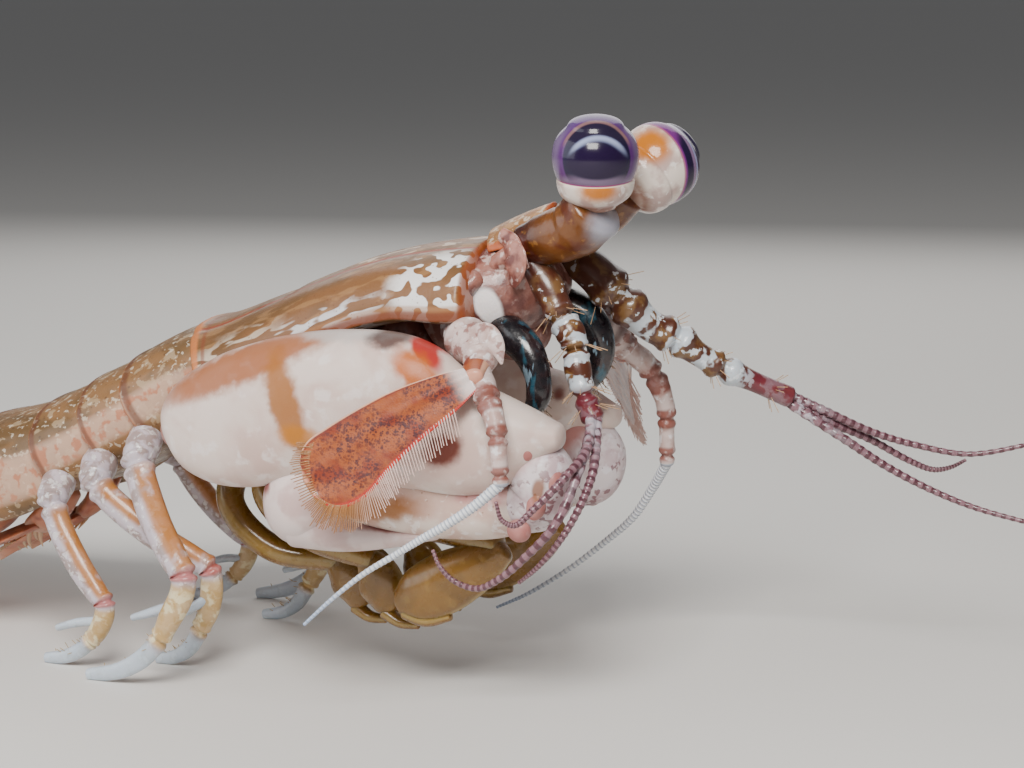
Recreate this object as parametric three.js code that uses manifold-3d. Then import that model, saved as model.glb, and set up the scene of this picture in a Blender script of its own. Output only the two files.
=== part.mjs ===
// A smashing mantis shrimp, life size, as it looks out of its hole with its claws folded.
// Millimetres. +X is forward, +Y is the animal's left, +Z is up, and the feet and tail fan rest on Z = 0.
// While it is built, X = 0 is the middle of the carapace's rear margin. The whole group is moved at the end
// so that the middle of its footprint is the origin.

import * as THREE from 'three';
import { mergeGeometries, mergeVertices } from 'three/addons/utils/BufferGeometryUtils.js';
import Module from 'manifold-3d';

const wasm = await Module();
wasm.setup();

// Driving dimensions

const CLEARANCE = 0.34;
const SLIVER = 0.03;
const ORIGIN = { x: -7.473, y: 2.332 };

// The back line from the front of the carapace to the end of the telson: length of each stretch, and how
// steeply it falls towards the rear in degrees.
const BACK_START = { x: 26.7, z: 36.2 };
const CARAPACE_RUN = [[4.6, 7], [4.6, 12.5], [4.9, 20], [5.1, 23], [5.2, 21], [3.6, 17]];
const THORAX_RUN = [[5.9, 28], [4.4, 28], [5.0, 26]];
const ABDOMEN_RUN = [[8.5, 17], [9.0, 8], [9.3, 3], [9.6, 3], [10.4, 10], [8.4, 21]];
const TELSON_RUN = [[15.0, 30]];

// Half-widths and heights of the trunk against the distance behind the carapace's rear margin.
const TRUNK_HALF_WIDTH = [[-6, 8.4], [0, 9.4], [15, 10.3], [26, 11.2], [45, 11.7], [58, 11.3], [71, 9.6]];
const TRUNK_RISE = [[-6, 4.4], [0, 4.6], [20, 4.9], [50, 4.8], [60, 4.4], [71, 3.6]];
const TRUNK_KEEL = [[-6, 4.4], [0, 4.4], [20, 3.9], [50, 3.8], [60, 3.4], [71, 2.6]];
const PLEURON_DROP = 1.9;

const CARAPACE_HALF_WIDTH = [[0, 10.3], [0.45, 9.9], [0.8, 9.3], [1, 8.7]];
const CARAPACE_HEIGHT = [[0, 5.6], [0.2, 5.1], [0.55, 5.0], [0.78, 5.1], [0.92, 5.7], [1, 5.8]];
const CARAPACE_UNDERSIDE = 0.7;
const REAR_CORNER_ADVANCE = 2.9;

const EYE_PROFILE = [
  [0, 1.7], [0.8, 2.7], [1.9, 3.05], [2.4, 3.1], [3.1, 3.3], [4.3, 3.35], [5.4, 2.95], [6.2, 2.2],
];
const EYES = {
  right: { base: [36.5, -3.6, 39.3], axis: [0.06, -0.16, 1.0] },
  left: { base: [37.0, 1.6, 39.9], axis: [0.42, 0.7, 0.54] },
};
const EYE_STALKS = {
  right: [[30.2, -2.5, 35.7, 1.7], [32.4, -2.9, 36.5, 2.1], [34.6, -3.2, 37.3, 2.3], [36.4, -3.6, 38.9, 2.5]],
  left: [[30.4, 2.5, 35.8, 1.6], [32.8, 2.4, 36.8, 1.8], [35.2, 2.0, 38.2, 1.8], [36.8, 1.7, 39.8, 1.8]],
};

// A row of stations gives x, y, z, half-width and half-depth. A missing half-depth equals the half-width.
const ANTENNULE_STALKS = {
  right: [
    [30.2, -2.7, 34.8, 1.1], [32.3, -3.1, 32.7, 1.3], [33.7, -3.6, 30.3, 1.05], [34.6, -3.9, 29.2, 1.2],
    [35.1, -4.1, 27.9, 0.9], [35.4, -4.4, 26.6, 1.1], [36.1, -4.8, 24.6, 0.8], [36.9, -5.0, 22.9, 0.95],
  ],
  left: [
    [30.6, 2.9, 34.9, 1.3], [33.2, 3.1, 33.6, 1.6], [35.6, 3.8, 31.2, 1.6], [37.7, 5.2, 28.9, 1.3],
    [39.4, 6.4, 27.9, 1.35], [41.1, 7.6, 26.4, 1.0], [42.6, 8.8, 25.3, 1.1], [44.9, 10.4, 24.0, 0.85],
    [47.3, 12.0, 22.7, 0.9],
  ],
};
const ANTENNULE_LASHES = {
  right: [
    [[36.9, -5.2, 23.2], [38.0, -9.0, 21.0], [37.4, -12.0, 19.3], [35.6, -13.6, 17.1], [34.5, -14.4, 16.0],
      [33.6, -14.8, 16.4], [33.3, -15.2, 17.8]],
    [[37.1, -4.9, 23.2], [37.9, -10.2, 19.6], [37.0, -12.6, 15.9], [34.9, -13.2, 13.4], [32.6, -13.0, 11.4],
      [30.6, -12.8, 10.4], [28.5, -12.6, 10.8], [27.3, -12.5, 11.8], [26.7, -12.4, 12.9]],
    [[37.2, -4.7, 23.2], [38.7, -9.5, 19.2], [37.6, -11.6, 15.4], [35.6, -12.2, 12.6], [33.8, -12.0, 11.0]],
  ],
  left: [
    [[47.0, 12.0, 23.0], [50.1, 13.2, 21.5], [53.5, 14.8, 19.8], [56.9, 16.2, 18.7], [61.0, 17.6, 18.0],
      [65.2, 19.0, 18.8], [67.9, 20.0, 19.6]],
    [[47.0, 12.1, 22.7], [50.1, 13.5, 20.7], [53.3, 15.5, 19.0], [56.2, 17.0, 17.2], [58.0, 18.0, 16.4],
      [59.3, 18.6, 16.6], [60.4, 19.0, 17.2]],
    [[47.0, 11.9, 22.4], [51.7, 13.0, 19.4], [55.0, 14.0, 17.2], [58.5, 14.8, 15.4], [62.1, 15.6, 14.0],
      [66.1, 16.0, 13.1], [69.0, 16.2, 12.5]],
  ],
};

const ANTENNAE = {
  right: {
    coxa: [[25.6, -5.6, 29.4, 1.6], [27.4, -7.8, 28.9, 1.8], [29.4, -9.8, 28.3, 1.6],
      [30.4, -11.4, 27.6, 1.2]],
    peduncle: [[30.2, -11.4, 27.2, 0.9], [31.7, -13.4, 25.5, 0.95], [32.9, -14.4, 23.7, 0.8],
      [33.4, -14.9, 21.4, 0.65], [33.6, -15.0, 19.2, 0.6]],
    lash: [[33.6, -15.0, 19.2], [31.8, -15.9, 17.5], [29.9, -16.7, 16.1], [28.0, -17.3, 14.9],
      [26.2, -17.8, 13.7], [23.6, -18.2, 12.0], [21.0, -18.6, 9.8], [18.9, -18.9, 7.8]],
  },
  left: {
    coxa: [[25.6, 5.6, 29.4, 1.7], [29.2, 7.2, 29.0, 1.9], [32.4, 8.0, 28.0, 1.7], [34.4, 8.8, 26.4, 1.3]],
    peduncle: [[34.4, 8.8, 26.4, 1.0], [35.9, 10.0, 24.6, 0.95], [36.9, 11.0, 21.6, 0.8],
      [36.9, 11.5, 18.9, 0.65], [36.8, 11.9, 16.4, 0.6]],
    lash: [[36.8, 11.9, 16.4], [35.0, 13.2, 13.8], [33.0, 13.8, 11.0], [30.4, 13.8, 8.6], [27.2, 13.4, 6.0],
      [23.6, 12.8, 3.6], [21.0, 12.2, 2.3]],
  },
};

// The antennal scale is an oval blade: distance along it, and distance above or below its middle. The upper
// edge is plain, and setae run round its end and back along its lower edge.
const SCALE_PLAIN_EDGE = [[0, 1.3], [2.2, 1.7], [5.5, 2.5], [8.9, 2.75], [11.2, 2.7]];
const SCALE_FRINGED_EDGE = [
  [12.6, 2.5], [13.9, 1.4], [14.6, -0.1], [14.2, -1.7], [12.8, -2.9], [11.2, -3.3], [8.9, -2.8],
  [5.5, -1.9], [2.2, -1.5],
];
const SCALES = {
  right: { stem: [[29.9, -11.0, 27.4, 1.1], [30.5, -13.6, 26.7, 1.1, 0.7]], tip: [18.9, -18.8, 18.5],
    across: [-0.548, 0.05, 0.837] },
  left: { stem: [[33.2, 8.9, 26.6, 1.1], [33.5, 10.8, 25.6, 1.1, 0.7]], tip: [28.0, 23.6, 19.4],
    across: [-0.55, 0.1, 0.83] },
};
const SCALE_THICKNESS = 0.7;
const SCALE_SETAE = 32;

// The raptorial claws. The right one is given, and the left one is its mirror image, a little further back
// and lower, as the animal holds it.
const CLAW_SHIFT = { right: [0, 0, 0], left: [-3.1, -0.7, -1.6] };
// Merus: x, y, upper edge, lower edge, half-thickness.
const MERUS = [
  [3.2, -12.3, 21.5, 19.3, 1.0], [3.9, -12.3, 23.3, 18.0, 1.9], [5.6, -12.3, 25.2, 16.9, 2.6],
  [8.8, -12.2, 27.0, 16.4, 3.1], [12.2, -12.1, 28.3, 17.0, 3.4], [15.6, -12.0, 29.2, 17.9, 3.5],
  [19.5, -11.8, 29.7, 18.1, 3.5], [23.4, -11.5, 29.5, 17.5, 3.4], [26.2, -11.2, 27.8, 17.1, 3.2],
  [28.8, -10.9, 26.0, 17.1, 2.9], [31.4, -10.5, 25.5, 17.9, 2.7], [33.8, -10.1, 24.4, 19.5, 2.3],
  [36.0, -9.8, 23.2, 21.1, 1.6],
];
const CARPUS = [[33.2, -9.6, 20.6, 2.0, 2.2], [34.6, -9.5, 18.9, 2.6, 2.6], [34.4, -9.4, 17.2, 2.4, 2.5],
  [33.0, -9.4, 16.2, 2.0, 2.1]];
const PROPODUS = [[33.6, -9.4, 16.0, 1.5, 1.5], [31.0, -9.5, 16.1, 2.1, 2.4], [27.0, -9.8, 16.3, 2.4, 2.9],
  [22.6, -10.2, 16.6, 2.5, 3.0], [18.4, -10.6, 17.2, 2.3, 2.7], [16.4, -10.8, 17.6, 1.7, 2.0]];
const DACTYL_HEEL = { centre: [15.0, -11.4, 16.0], radii: [3.4, 2.9, 4.0], pitch: 22 };
const DACTYL_FINGER = [[14.6, -11.3, 14.2, 2.4, 2.4], [18.4, -11.0, 13.4, 2.0, 1.6],
  [22.2, -10.7, 13.3, 1.4, 0.9], [26.0, -10.3, 13.7, 0.7, 0.4]];
const ISCHIUM = [[17.6, -5.8, 22.0, 1.7], [12.8, -7.6, 19.2, 1.8], [8.2, -9.0, 17.9, 1.7],
  [4.6, -9.8, 18.4, 1.5]];

// First maxillipeds: slim, curled down beside the mouth.
const FIRST_MAXILLIPEDS = {
  right: [[27.6, -3.6, 29.8, 1.3], [29.9, -4.6, 28.9, 1.45], [31.6, -5.2, 27.7, 1.3],
    [32.5, -5.5, 25.9, 1.05], [32.6, -5.6, 24.3, 1.0], [31.9, -5.4, 23.0, 0.7]],
  left: [[28.6, 3.2, 30.2, 1.4], [31.4, 3.8, 30.3, 1.5], [33.1, 4.0, 29.0, 1.45], [33.9, 4.1, 27.1, 1.2],
    [33.6, 4.0, 25.2, 1.0], [32.7, 3.8, 23.8, 0.7]],
};

// Third to fifth maxillipeds: an arm, and a broad oval hand with its small finger folded along it.
const MAXILLIPEDS = [
  {
    number: 3,
    arm: [[12.6, -2.6, 20.8, 1.3], [12.2, -4.4, 16.6, 1.25], [16.2, -5.4, 13.7, 1.2], [22.4, -5.6, 13.3, 1.2],
      [29.6, -6.7, 12.5, 1.0]],
    hand: [[30.2, -6.8, 12.1, 1.0, 0.9], [28.2, -6.9, 10.8, 1.9, 1.2], [25.2, -7.1, 9.1, 2.5, 1.35],
      [22.6, -7.2, 7.7, 2.1, 1.2], [21.4, -7.2, 7.1, 1.2, 0.9]],
    finger: [[21.8, -7.1, 6.4, 0.9, 0.7], [23.5, -7.1, 5.9, 0.75, 0.6], [25.6, -7.1, 6.4, 0.4, 0.4]],
  },
  {
    number: 4,
    arm: [[8.6, -2.8, 19.2, 1.3], [7.8, -5.0, 14.9, 1.25], [12.2, -6.2, 11.7, 1.15], [17.8, -5.4, 10.0, 1.0]],
    hand: [[17.4, -5.3, 10.1, 1.1, 0.9], [18.2, -5.2, 8.8, 1.9, 1.2], [18.7, -5.1, 7.3, 2.0, 1.2],
      [19.0, -5.0, 6.0, 1.1, 0.9]],
    finger: [[18.9, -5.1, 5.6, 0.8, 0.6], [20.2, -5.1, 4.9, 0.6, 0.5], [21.8, -5.1, 4.8, 0.35, 0.35]],
  },
  {
    number: 5,
    arm: [[4.4, -2.6, 17.6, 1.3], [4.2, -4.6, 13.4, 1.2], [8.2, -4.6, 9.8, 1.15], [13.6, -3.3, 9.1, 1.0]],
    hand: [[13.2, -3.3, 9.2, 1.1, 0.9], [14.4, -3.2, 8.1, 1.9, 1.2], [15.1, -3.1, 6.8, 1.9, 1.2],
      [15.4, -3.0, 5.6, 1.0, 0.9]],
    finger: [[15.1, -3.0, 5.2, 0.8, 0.6], [16.3, -3.0, 4.5, 0.6, 0.5], [17.8, -3.0, 4.4, 0.35, 0.35]],
  },
];

const MAXILLIPED_SHIFT = { right: [0, 0, 0], left: [-0.8, -0.5, -0.8] };

// Walking legs, right side. The left ones are mirrored and moved by their own stride.
const WALKING_LEGS = [
  {
    number: 1, stride: { right: 0, left: -1.2 },
    coxa: [[-1.9, -7.4, 19.6, 1.2], [-1.2, -9.2, 18.7, 1.5], [-0.8, -10.7, 17.9, 1.35]],
    long: [[-0.9, -10.9, 17.8, 1.25, 1.05], [0.7, -12.2, 15.4, 1.35, 1.05], [2.8, -13.7, 12.9, 1.35, 1.0],
      [5.2, -15.2, 10.8, 1.25, 0.95], [6.2, -15.6, 9.7, 1.05, 0.9]],
    shin: [[6.2, -15.6, 9.9, 0.95, 0.85], [6.1, -15.7, 8.2, 1.05, 0.85], [4.9, -15.7, 6.0, 1.0, 0.75],
      [3.9, -15.6, 4.3, 0.8, 0.65]],
    foot: [[3.9, -15.6, 4.4, 0.8, 0.45], [2.2, -15.4, 2.5, 0.8, 0.4], [-0.2, -15.2, 1.1, 0.7, 0.4],
      [-3.3, -15.0, 0.35, 0.55, 0.4]],
    branch: [[5.4, -15.2, 7.2, 0.45], [3.2, -14.4, 6.3, 0.45], [0.4, -14.0, 5.3, 0.3]],
  },
  {
    number: 2, stride: { right: 0, left: 0.7 },
    coxa: [[-6.2, -7.4, 17.6, 1.2], [-5.6, -9.2, 16.6, 1.5], [-5.1, -10.7, 15.8, 1.35]],
    long: [[-5.2, -10.9, 15.7, 1.1, 1.0], [-2.9, -11.0, 13.8, 1.2, 0.95], [0.4, -10.6, 11.5, 1.2, 0.9],
      [3.6, -9.9, 9.7, 1.1, 0.85], [4.9, -9.5, 8.9, 0.9, 0.8]],
    shin: [[4.8, -9.5, 9.0, 0.9, 0.8], [5.0, -9.2, 7.2, 1.0, 0.8], [4.4, -8.9, 5.0, 0.95, 0.7],
      [3.5, -8.7, 3.4, 0.75, 0.6]],
    foot: [[3.5, -8.7, 3.5, 0.75, 0.45], [2.5, -8.6, 1.8, 0.7, 0.4], [1.1, -8.5, 0.8, 0.6, 0.4],
      [-0.8, -8.4, 0.35, 0.5, 0.4]],
    branch: [[4.6, -9.4, 6.2, 0.45], [2.6, -9.8, 5.0, 0.4], [0.4, -10.0, 4.2, 0.3]],
  },
  {
    number: 3, stride: { right: 0, left: -0.9 },
    coxa: [[-10.4, -7.4, 15.6, 1.2], [-9.7, -9.2, 14.7, 1.45], [-9.3, -10.7, 13.9, 1.3]],
    long: [[-9.4, -10.9, 13.8, 1.05, 0.95], [-8.0, -11.4, 11.2, 1.15, 0.9], [-6.0, -12.0, 8.6, 1.15, 0.85],
      [-4.0, -12.5, 6.6, 1.0, 0.8], [-3.2, -12.7, 5.9, 0.85, 0.75]],
    shin: [[-3.3, -12.7, 6.0, 0.85, 0.75], [-3.2, -12.7, 4.8, 0.9, 0.7], [-3.9, -12.6, 3.4, 0.85, 0.65],
      [-4.7, -12.5, 2.5, 0.7, 0.55]],
    foot: [[-4.7, -12.5, 2.6, 0.7, 0.45], [-5.9, -12.3, 1.5, 0.65, 0.4], [-7.3, -12.2, 0.8, 0.6, 0.4],
      [-9.4, -12.0, 0.35, 0.5, 0.4]],
    branch: [[-3.8, -12.4, 4.2, 0.4], [-5.6, -12.8, 4.0, 0.4], [-7.6, -13.0, 3.4, 0.3]],
  },
];

const SETAE_LENGTH = 1.7;
const SETAE_LEAN = 0.4;

const PLEOPOD = {
  length: 9.4, halfWidth: 2.6, thickness: 0.8, spread: 3.3, filaments: 4, filamentLength: 3.0,
};
const TELSON_SHAPE = [[0, 7.2, 2.2, 1.7], [0.15, 8.0, 2.2, 1.4], [0.45, 8.1, 1.9, 1.1], [0.75, 7.0, 1.5, 0.9],
  [1, 5.0, 1.0, 0.7]];
const TELSON_TEETH = [[0.42, 8.0, 2.2], [0.78, 6.8, 2.6], [1.0, 3.1, 3.2]];

// Finishes of the solids

const FINISH = {
  shell: { color: 0xb08a63, roughness: 0.38, metalness: 0 },
  rim: { color: 0xc2703a, roughness: 0.4, metalness: 0 },
  flesh: { color: 0xd9b8a4, roughness: 0.5, metalness: 0 },
  porcelain: { color: 0xeee2da, roughness: 0.25, metalness: 0 },
  scale: { color: 0xd98a63, roughness: 0.45, metalness: 0 },
  feeler: { color: 0xb56f6c, roughness: 0.4, metalness: 0 },
  chalk: { color: 0xe6ded6, roughness: 0.55, metalness: 0 },
  eye: { color: 0x6a4a7c, roughness: 0.12, metalness: 0 },
  stalk: { color: 0xa45a32, roughness: 0.35, metalness: 0 },
  inky: { color: 0x1d2a3a, roughness: 0.3, metalness: 0 },
  amber: { color: 0xc79a4e, roughness: 0.35, metalness: 0 },
  leg: { color: 0xdccfc6, roughness: 0.4, metalness: 0 },
  gill: { color: 0xe3a58e, roughness: 0.55, metalness: 0 },
  fin: { color: 0xb98a55, roughness: 0.45, metalness: 0 },
};

// Small helpers

const DOME_WAIST = 0.7;
const vec = ([x, y, z]) => new THREE.Vector3(x, y, z);
const radians = THREE.MathUtils.degToRad;

/** Straight-line reading of a table of [place, value, ...] rows; column picks the value. */
function read(table, place, column = 1) {
  let row = 1;
  while (row < table.length - 1 && place > table[row][0]) {
    row += 1;
  }
  const [low, high] = [table[row - 1], table[row]];
  const share = THREE.MathUtils.clamp((place - low[0]) / (high[0] - low[0]), 0, 1);
  return THREE.MathUtils.lerp(low[column], high[column], share);
}

/** The same stations on the other side of the body, moved by an offset. */
function mirrored(stations, side, offset = [0, 0, 0]) {
  const flip = side === 'left' ? -1 : 1;
  return stations.map(([x, y, z, ...rest]) => [x + offset[0], flip * y + offset[1], z + offset[2], ...rest]);
}

/** Repeatable draw between 0 and 1 from a whole number. */
function chance(index) {
  const value = Math.sin(index * 12.9898 + 4.1414) * 43758.5453;
  return value - Math.floor(value);
}

// Closed bodies

/** Turns a closed three.js geometry into a solid, whichever way its faces point. */
function solidOf(geometry) {
  const bare = geometry.index ? geometry.clone() : geometry;
  bare.deleteAttribute('normal');
  bare.deleteAttribute('uv');
  const merged = mergeVertices(bare, 1e-4);
  const places = merged.attributes.position;
  const index = Array.from(merged.index.array);
  const [a, b, c] = [new THREE.Vector3(), new THREE.Vector3(), new THREE.Vector3()];
  const kept = [];
  let volume = 0;
  for (let i = 0; i < index.length; i += 3) {
    const [p, q, r] = [index[i], index[i + 1], index[i + 2]];
    if (p === q || q === r || r === p) {
      continue;
    }
    a.fromBufferAttribute(places, p);
    b.fromBufferAttribute(places, q);
    c.fromBufferAttribute(places, r);
    volume += a.dot(b.cross(c));
    kept.push(p, q, r);
  }
  if (volume < 0) {
    kept.reverse();
  }
  const mesh = new wasm.Mesh({
    numProp: 3, vertProperties: new Float32Array(places.array), triVerts: new Uint32Array(kept),
  });
  return new wasm.Manifold(mesh);
}

/**
 * A body skinned over oval sections. The function at gives each section's centre, ahead and up directions,
 * half-width, half-depth, the share of the depth below the centre, and the roundness power.
 * caps says how far each end bulges, as a share of its section.
 */
function loft({ at, steps, sides, caps = [0.5, 0.5], shape = null, grow = 0 }) {
  const [headRows, tailRows] = caps.map((cap) => (cap > 0 ? 1 : 0));
  const rows = steps + headRows + tailRows;
  const geometry = new THREE.CylinderGeometry(1, 1, 1, sides, rows);
  const places = geometry.attributes.position;
  const point = new THREE.Vector3();
  const flow = Math.sign(at(1).centre.clone().sub(at(0).centre).dot(at(0.5).ahead)) || 1;
  for (let i = 0; i < places.count; i += 1) {
    const row = Math.round((0.5 - places.getY(i)) * rows);
    const isCentre = Math.hypot(places.getX(i), places.getZ(i)) < 0.5;
    const angle = Math.atan2(places.getZ(i), places.getX(i));
    const t = THREE.MathUtils.clamp((row - headRows) / steps, 0, 1);
    const section = at(t);
    const across = new THREE.Vector3().crossVectors(section.up, section.ahead).normalize();
    const power = 2 / (section.power ?? 2);
    const [cosine, sine] = [Math.cos(angle), Math.sin(angle)];
    const depth = sine < 0 ? section.deep * (section.under ?? 1) : section.deep;
    let out = Math.sign(cosine) * Math.abs(cosine) ** power * (section.wide + grow);
    let rise = Math.sign(sine) * Math.abs(sine) ** power * (depth + grow);
    if (shape) {
      [out, rise] = shape({ t, angle, out, rise, section });
    }
    const isDome = row < headRows || row > rows - tailRows;
    const bulge = caps[t < 0.5 ? 0 : 1] * Math.min(section.wide, section.deep);
    const size = isCentre ? 0 : (isDome ? DOME_WAIST : 1);
    const push = (t === 0 || t === 1 ? grow : 0) + (isDome ? bulge * (isCentre ? 1 : DOME_WAIST) : 0);
    point.copy(section.centre)
      .addScaledVector(across, out * size)
      .addScaledVector(section.up, rise * size)
      .addScaledVector(section.ahead, (t < 0.5 ? -push : push) * flow);
    places.setXYZ(i, point.x, point.y, point.z);
  }
  return solidOf(geometry);
}

/** A limb through stations [x, y, z, half-width, half-depth]; up is the direction that its depth follows. */
function limb({ stations, up = [0, 0, 1], sides = 8, perSpan = 1, caps = [0.5, 0.5], power = 2, under = 1 }) {
  const curve = new THREE.CatmullRomCurve3(stations.map(vec), false, 'centripetal');
  const last = stations.length - 1;
  const wides = stations.map((row, index) => [index / last, row[3]]);
  const deeps = stations.map((row, index) => [index / last, row[4] ?? row[3]]);
  const at = (t) => {
    const ahead = curve.getTangent(t);
    const upward = vec(up).addScaledVector(ahead, -vec(up).dot(ahead)).normalize();
    return {
      centre: curve.getPoint(t), ahead, up: upward, wide: read(wides, t), deep: read(deeps, t), under, power,
    };
  };
  return (grow = 0) => loft({ at, steps: last * perSpan, sides, caps, grow });
}

/** An oval body, turned nose down by pitch degrees. */
function oval({ centre, radii, pitch = 0, sides = 14 }) {
  return (grow = 0) => {
    const geometry = new THREE.SphereGeometry(1, sides, Math.round(sides * 0.7));
    geometry.rotateX(Math.PI / 2);
    geometry.scale(radii[0] + grow, radii[1] + grow, radii[2] + grow);
    geometry.rotateY(radians(pitch));
    geometry.translate(...centre);
    return solidOf(geometry);
  };
}

/** A straight tapering spine or bristle from root to tip, flat where thick is less than wide. */
function spine({ root, tip, wide, thick = wide, flat = [0, 0, 1], sides = 4 }) {
  return (grow = 0) => {
    const from = vec(root);
    const ahead = vec(tip).sub(from);
    const length = ahead.length() + 3 * grow;
    ahead.normalize();
    from.addScaledVector(ahead, -grow);
    const across = new THREE.Vector3().crossVectors(ahead, vec(flat)).normalize();
    const up = new THREE.Vector3().crossVectors(across, ahead);
    const geometry = new THREE.ConeGeometry(1, 1, sides, 1);
    geometry.translate(0, 0.5, 0);
    geometry.applyMatrix4(new THREE.Matrix4().makeBasis(
      across.multiplyScalar(wide / 2 + grow),
      ahead.multiplyScalar(length),
      up.multiplyScalar(thick / 2 + grow),
    ));
    geometry.translate(from.x, from.y, from.z);
    return solidOf(geometry);
  };
}

/** A bent blade of even thickness: at gives its middle surface for u from 0 to 1 and v from -1 to 1. */
function blade({ at, along, across, thickness }) {
  const step = 1e-3;
  const place = (u, v, side, grow) => {
    const middle = at(u, v);
    const ahead = at(u + step, v).sub(at(u - step, v)).normalize();
    const sideways = at(u, v + step).sub(at(u, v - step)).normalize();
    const face = new THREE.Vector3().crossVectors(ahead, sideways).normalize();
    return middle.addScaledVector(face, side * (thickness / 2 + grow))
      .addScaledVector(ahead, u < step ? -grow : (u > 1 - step ? grow : 0))
      .addScaledVector(sideways, Math.abs(v) > 1 - step ? Math.sign(v) * grow : 0);
  };
  const patch = (columns, rows, locate, turned) => {
    const geometry = new THREE.PlaneGeometry(2, 2, columns, rows);
    const places = geometry.attributes.position;
    for (let i = 0; i < places.count; i += 1) {
      const point = locate(places.getX(i), places.getY(i));
      places.setXYZ(i, point.x, point.y, point.z);
    }
    if (turned) {
      geometry.index.array.reverse();
    }
    return geometry;
  };
  return (grow = 0) => solidOf(mergeGeometries([
    patch(along, across, (x, y) => place((x + 1) / 2, y, 1, grow), false),
    patch(along, across, (x, y) => place((x + 1) / 2, y, -1, grow), true),
    patch(along, 1, (x, y) => place((x + 1) / 2, -1, y, grow), false),
    patch(along, 1, (x, y) => place((x + 1) / 2, 1, y, grow), true),
    patch(across, 1, (x, y) => place(0, x, y, grow), true),
    patch(across, 1, (x, y) => place(1, x, y, grow), false),
  ]));
}

/** Several forms joined. */
function fused(...forms) {
  return (grow = 0) => wasm.Manifold.union(forms.flat().map((form) => form(grow)));
}

/** The largest closed surface of a solid, with any seal or scrap left out. */
function largest(solid) {
  const pieces = solid.decompose();
  return pieces.reduce((best, piece) => (piece.volume() > best.volume() ? piece : best));
}

// The model: each node is a form less the grown forms of what it grows from

const model = new THREE.Group();
const forms = {};

const floorBox = (() => {
  const box = new THREE.BoxGeometry(300, 200, 20);
  box.translate(0, 0, -10);
  return solidOf(box);
})();

function addNode(name, form, finish, { clearOf = [], onFloor = false } = {}) {
  let solid = form(0);
  for (const other of clearOf) {
    solid = solid.subtract(forms[other](CLEARANCE));
  }
  if (onFloor) {
    solid = solid.subtract(floorBox);
  }
  const mesh = largest(solid).simplify(SLIVER).getMesh();
  const geometry = new THREE.BufferGeometry();
  geometry.setAttribute('position', new THREE.BufferAttribute(mesh.vertProperties, 3));
  geometry.setIndex(new THREE.BufferAttribute(mesh.triVerts, 1));
  geometry.computeVertexNormals();
  const node = new THREE.Mesh(geometry, new THREE.MeshStandardMaterial(FINISH[finish]));
  node.name = name;
  model.add(node);
  forms[name] = form;
}

// Trunk

const total = (run) => run.reduce((sum, [length]) => sum + length, 0);
const CARAPACE_LENGTH = total(CARAPACE_RUN);
const BODY_RUN = [...CARAPACE_RUN, ...THORAX_RUN, ...ABDOMEN_RUN, ...TELSON_RUN];

const backLine = (() => {
  const points = [new THREE.Vector3(BACK_START.x, 0, BACK_START.z)];
  for (const [length, pitch] of BODY_RUN) {
    const step = new THREE.Vector3(-Math.cos(radians(pitch)), 0, -Math.sin(radians(pitch)));
    points.push(points[points.length - 1].clone().addScaledVector(step, length));
  }
  return new THREE.CatmullRomCurve3(points, false, 'centripetal');
})();

/** Point, forward and outward direction of the back, at a distance behind the carapace's rear margin. */
function onBack(behind) {
  const share = THREE.MathUtils.clamp((behind + CARAPACE_LENGTH) / total(BODY_RUN), 0, 1);
  const point = backLine.getPointAt(share);
  const ahead = backLine.getTangentAt(share).negate();
  const up = new THREE.Vector3(-ahead.z, 0, ahead.x);
  return { point, ahead, up };
}

function trunkSection(behind, swell) {
  const { point, ahead, up } = onBack(behind);
  const rise = read(TRUNK_RISE, behind) * swell;
  const centre = point.clone().addScaledVector(up, -read(TRUNK_RISE, behind));
  return {
    centre, ahead, up, wide: read(TRUNK_HALF_WIDTH, behind) * swell, deep: rise,
    under: read(TRUNK_KEEL, behind) / rise, power: 2.3,
  };
}

/** A ring of the trunk; its rear edge stands a little proud, and drop lets its sides hang as flaps. */
function ring({ from, to, drop = 0, sides = 22, steps = 3 }) {
  const at = (t) => trunkSection(from + (to - from) * t, 0.93 + 0.07 * Math.sin((t * Math.PI) / 2));
  const shape = ({ t, angle, out, rise, section }) => {
    if (drop === 0 || Math.sin(angle) > -0.05) {
      return [out, rise];
    }
    const reach = Math.abs(out) / section.wide;
    const bow = 0.55 + 0.45 * Math.sin(Math.PI * (0.2 + 0.7 * t));
    const flap = THREE.MathUtils.smoothstep(reach, 0.62, 0.88) * bow;
    return [out * (1 - 0.03 * flap), rise - drop * flap];
  };
  return (grow = 0) => loft({ at, steps, sides, caps: [0, 0], shape, grow });
}

const carapaceForm = (grow = 0) => loft({
  at: (t) => {
    const { point, ahead, up } = onBack(-CARAPACE_LENGTH * t);
    const height = read(CARAPACE_HEIGHT, t);
    return {
      centre: point.clone().addScaledVector(up, -height), ahead, up, wide: read(CARAPACE_HALF_WIDTH, t),
      deep: height, under: CARAPACE_UNDERSIDE / height, power: 2.25,
    };
  },
  steps: 9,
  sides: 22,
  caps: [0, 0],
  grow,
});

/** Draws the carapace's rear corners forward, so that its hind margin is hollow seen from above. */
function advanceCorners(solid) {
  return solid.warp((vertex) => {
    const near = THREE.MathUtils.clamp(1 - vertex[0] / 11, 0, 1);
    const aside = THREE.MathUtils.clamp(Math.abs(vertex[1]) / 10, 0, 1.1);
    vertex[0] += REAR_CORNER_ADVANCE * near * aside ** 2;
  });
}

addNode('carapace', (grow = 0) => advanceCorners(carapaceForm(grow * 2.6)), 'shell');

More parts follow.
